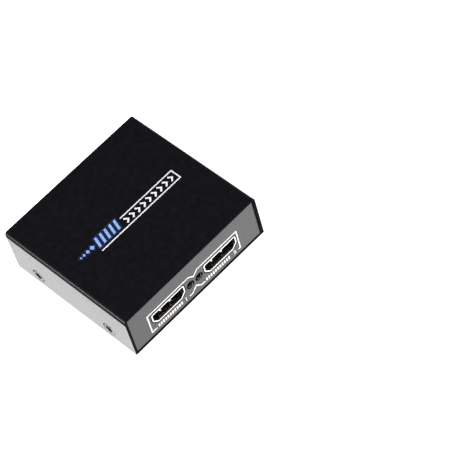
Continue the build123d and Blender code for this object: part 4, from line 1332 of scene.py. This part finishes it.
@dataclass
class Studio:
    """A pale floor, soft lights and a camera at the photograph's angle."""

    floor_half_m: float = 3.0  # Half the floor's side.
    far_glow: float = 1.05  # Light of the floor away from the object.
    left_glow: float = 0.65  # What the strip of floor beside the left wall adds.
    # Where that strip starts, is whole, is whole no more and ends.
    left_strip_m: tuple[float, ...] = (-0.0395, -0.0370, -0.0302, -0.0296)
    front_glow: float = 0.25  # What the strip of floor in front adds.
    front_slope: float = 0.65  # How much more of that there is at the right than in the middle.
    slope_m: float = 0.04  # How far from the middle that holds.
    # Where that strip starts, is whole, is whole no more and ends.
    front_strip_m: tuple[float, ...] = (-0.0460, -0.0410, -0.0286, -0.0280)
    # Half the width and depth of the painted shadow under the object, where the floor is dark.
    shadow_m: Point = (0.0293, 0.0271)
    shadow_shift_m: float = 0.0007  # How far its middle lies to the right.
    shadow_edge_m: float = 0.0003  # Width of that dark floor's soft edge.
    floor_white: float = 0.89  # Share of light that the floor throws back outside it.
    floor_roughness: float = 0.6  # Roughness of the floor.
    glow_colour: str = "FFFDFC"  # Colour of the floor's own light, sRGB hex.
    room_colour: str = "BFC0C8"  # Colour of the room's light, sRGB hex.
    room_level: float = 0.12  # Strength of the room's light.
    # The lights that hang over the object.
    lights: tuple[SoftLight, ...] = (
        SoftLight("key_light", (-0.55, -0.15, 0.85), 0.55, 9.6),
        SoftLight("fill_light", (0.25, -0.75, 0.75), 0.6, 5.5),
        SoftLight("rim_light", (-1.01, 0.60, 0.21), 0.16, 1.1))
    eye_m: Place = (-0.21569, -0.40099, 0.61060)  # Where the camera stands.
    # Direction of view about +Z, in degrees from +Y, positive to the left.
    azimuth: float = -32.308
    elevation: float = 53.398  # How far the camera looks down, in degrees.
    roll: float = 17.012  # How far the camera is turned about its own axis, in degrees.
    lens_mm: float = 176.17  # Focal length.
    sensor_mm: float = 36.0  # Width of the sensor.
    near_m: float = 0.01  # Where the view starts.

    def build(self) -> None:
        """Builds the studio."""
        self.floor()
        self.sky()
        for light in self.lights:
            light.hang()
        self.camera()

    def floor(self) -> None:
        """Lays the floor: a white board, lit from below so that it stays white in the photo."""
        side = self.floor_half_m
        mesh = bpy.data.meshes.new("floor")
        mesh.from_pydata([(-side, -side, 0), (side, -side, 0), (side, side, 0), (-side, side, 0)],
                         [], [(0, 1, 2, 3)])
        floor = stand("floor", mesh)
        made = bpy.data.materials.new("pale_light_table")
        made.use_nodes = True
        tree = made.node_tree
        tree.nodes.clear()
        seat = add_node(tree, "ShaderNodeTexCoord").outputs["Object"]
        split = add_node(tree, "ShaderNodeSeparateXYZ", {"Vector": seat})
        across, along = split.outputs["X"], split.outputs["Y"]
        slope = self.ramp(tree, across, -self.slope_m, self.slope_m, 1 - self.front_slope,
                          1 + self.front_slope)
        front = self.combined(
            tree, "MULTIPLY", self.strip(tree, along, self.front_strip_m, self.front_glow), slope)
        left = self.strip(tree, across, self.left_strip_m, self.left_glow)
        glow = self.combined(tree, "ADD", self.combined(tree, "ADD", left, front), self.far_glow)
        # Painted shadow: under the object the floor neither glows nor throws light back, so it
        # shows dark at the object's foot.
        shifted = self.combined(tree, "SUBTRACT", across, self.shadow_shift_m)
        clear = self.combined(tree, "MAXIMUM", self.beyond(tree, shifted, self.shadow_m[0]),
                              self.beyond(tree, along, self.shadow_m[1]))
        glow = self.combined(tree, "MULTIPLY", glow, clear)
        white = self.combined(tree, "MULTIPLY", clear, self.floor_white)
        board = add_node(tree, "ShaderNodeCombineColor", {
            "Red": white, "Green": white, "Blue": white})
        shader = add_node(tree, "ShaderNodeBsdfPrincipled", {
            "Base Color": board.outputs["Color"], "Roughness": self.floor_roughness,
            "Emission Color": linear(self.glow_colour), "Emission Strength": glow})
        add_node(tree, "ShaderNodeOutputMaterial", {"Surface": shader.outputs["BSDF"]})
        mesh.materials.append(made)

    @staticmethod
    def combined(tree: Tree, operation: str, *values: Socket | float) -> Socket:
        """Adds a sum on one or two values and gives its result."""
        made = add_node(tree, "ShaderNodeMath", dict(enumerate(values)), operation=operation)
        return made.outputs["Value"]

    @staticmethod
    def ramp(tree: Tree, value: Socket, start: float, end: float, at_start: float,
             at_end: float) -> Socket:
        """Adds a smooth change from one level to another along a coordinate."""
        made = add_node(tree, "ShaderNodeMapRange", {
            "Value": value, "From Min": start, "From Max": end, "To Min": at_start,
            "To Max": at_end}, interpolation_type="SMOOTHSTEP")
        return made.outputs["Result"]

    def strip(self, tree: Tree, value: Socket, bounds_m: Sequence[float], level: float) -> Socket:
        """Adds a strip along a coordinate, with soft sides.

        Args:
            tree: The floor's tree.
            value: The coordinate, in metres.
            bounds_m: Where the strip starts, is whole, is whole no more and ends.
            level: Its level where it is whole.

        Returns:
            The level.
        """
        rise = self.ramp(tree, value, bounds_m[0], bounds_m[1], 0.0, level)
        fall = self.ramp(tree, value, bounds_m[2], bounds_m[3], 1.0, 0.0)
        return self.combined(tree, "MULTIPLY", rise, fall)

    def beyond(self, tree: Tree, value: Socket, half_m: float) -> Socket:
        """Adds a level that is nought within a distance of the middle, and one beyond it."""
        away = self.combined(tree, "ABSOLUTE", value)
        return self.ramp(tree, away, half_m, half_m + self.shadow_edge_m, 0.0, 1.0)

    def sky(self) -> None:
        """Sets a dim grey room."""
        world = bpy.data.worlds.new("dim_room")
        world.use_nodes = True
        tree = world.node_tree
        tree.nodes.clear()
        room = add_node(tree, "ShaderNodeBackground", {
            "Color": linear(self.room_colour), "Strength": self.room_level})
        add_node(tree, "ShaderNodeOutputWorld", {"Surface": room.outputs["Background"]})
        bpy.context.scene.world = world

    def camera(self) -> None:
        """Sets the camera up and makes it the scene's."""
        azimuth, elevation, roll = (math.radians(value) for value in
                                    (self.azimuth, self.elevation, self.roll))
        forward = Vector((-math.sin(azimuth) * math.cos(elevation),
                          math.cos(azimuth) * math.cos(elevation), -math.sin(elevation)))
        level = forward.cross(Vector((0, 0, 1))).normalized()
        rise = level.cross(forward)
        up = rise * math.cos(roll) + level * math.sin(roll)
        right = forward.cross(up).normalized()
        data = bpy.data.cameras.new("camera")
        data.sensor_fit = "HORIZONTAL"
        data.sensor_width = self.sensor_mm
        data.lens = self.lens_mm
        data.clip_start = self.near_m
        camera = stand("camera", data)
        turn = Matrix((right, up, -forward)).transposed()
        camera.matrix_world = Matrix.Translation(self.eye_m) @ turn.to_4x4()
        bpy.context.scene.camera = camera


def main() -> None:
    """Loads the frame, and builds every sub-assembly and the studio."""
    logging.basicConfig(level=logging.INFO, format="%(name)s: %(message)s")
    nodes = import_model()["nodes"]
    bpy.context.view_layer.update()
    bpy.context.scene.view_settings.view_transform = "Standard"
    Studio().build()
    Case(nodes).build()
    Prints(nodes).build()
    for label in ("output_1", "output_2", "input"):
        VideoSocket(nodes, label=label).build()
    Lamps(nodes).build()
    PowerJack(nodes).build()
    Board(nodes).build()
    LOG.info("sizes written")


if __name__ == "__main__":
    main()
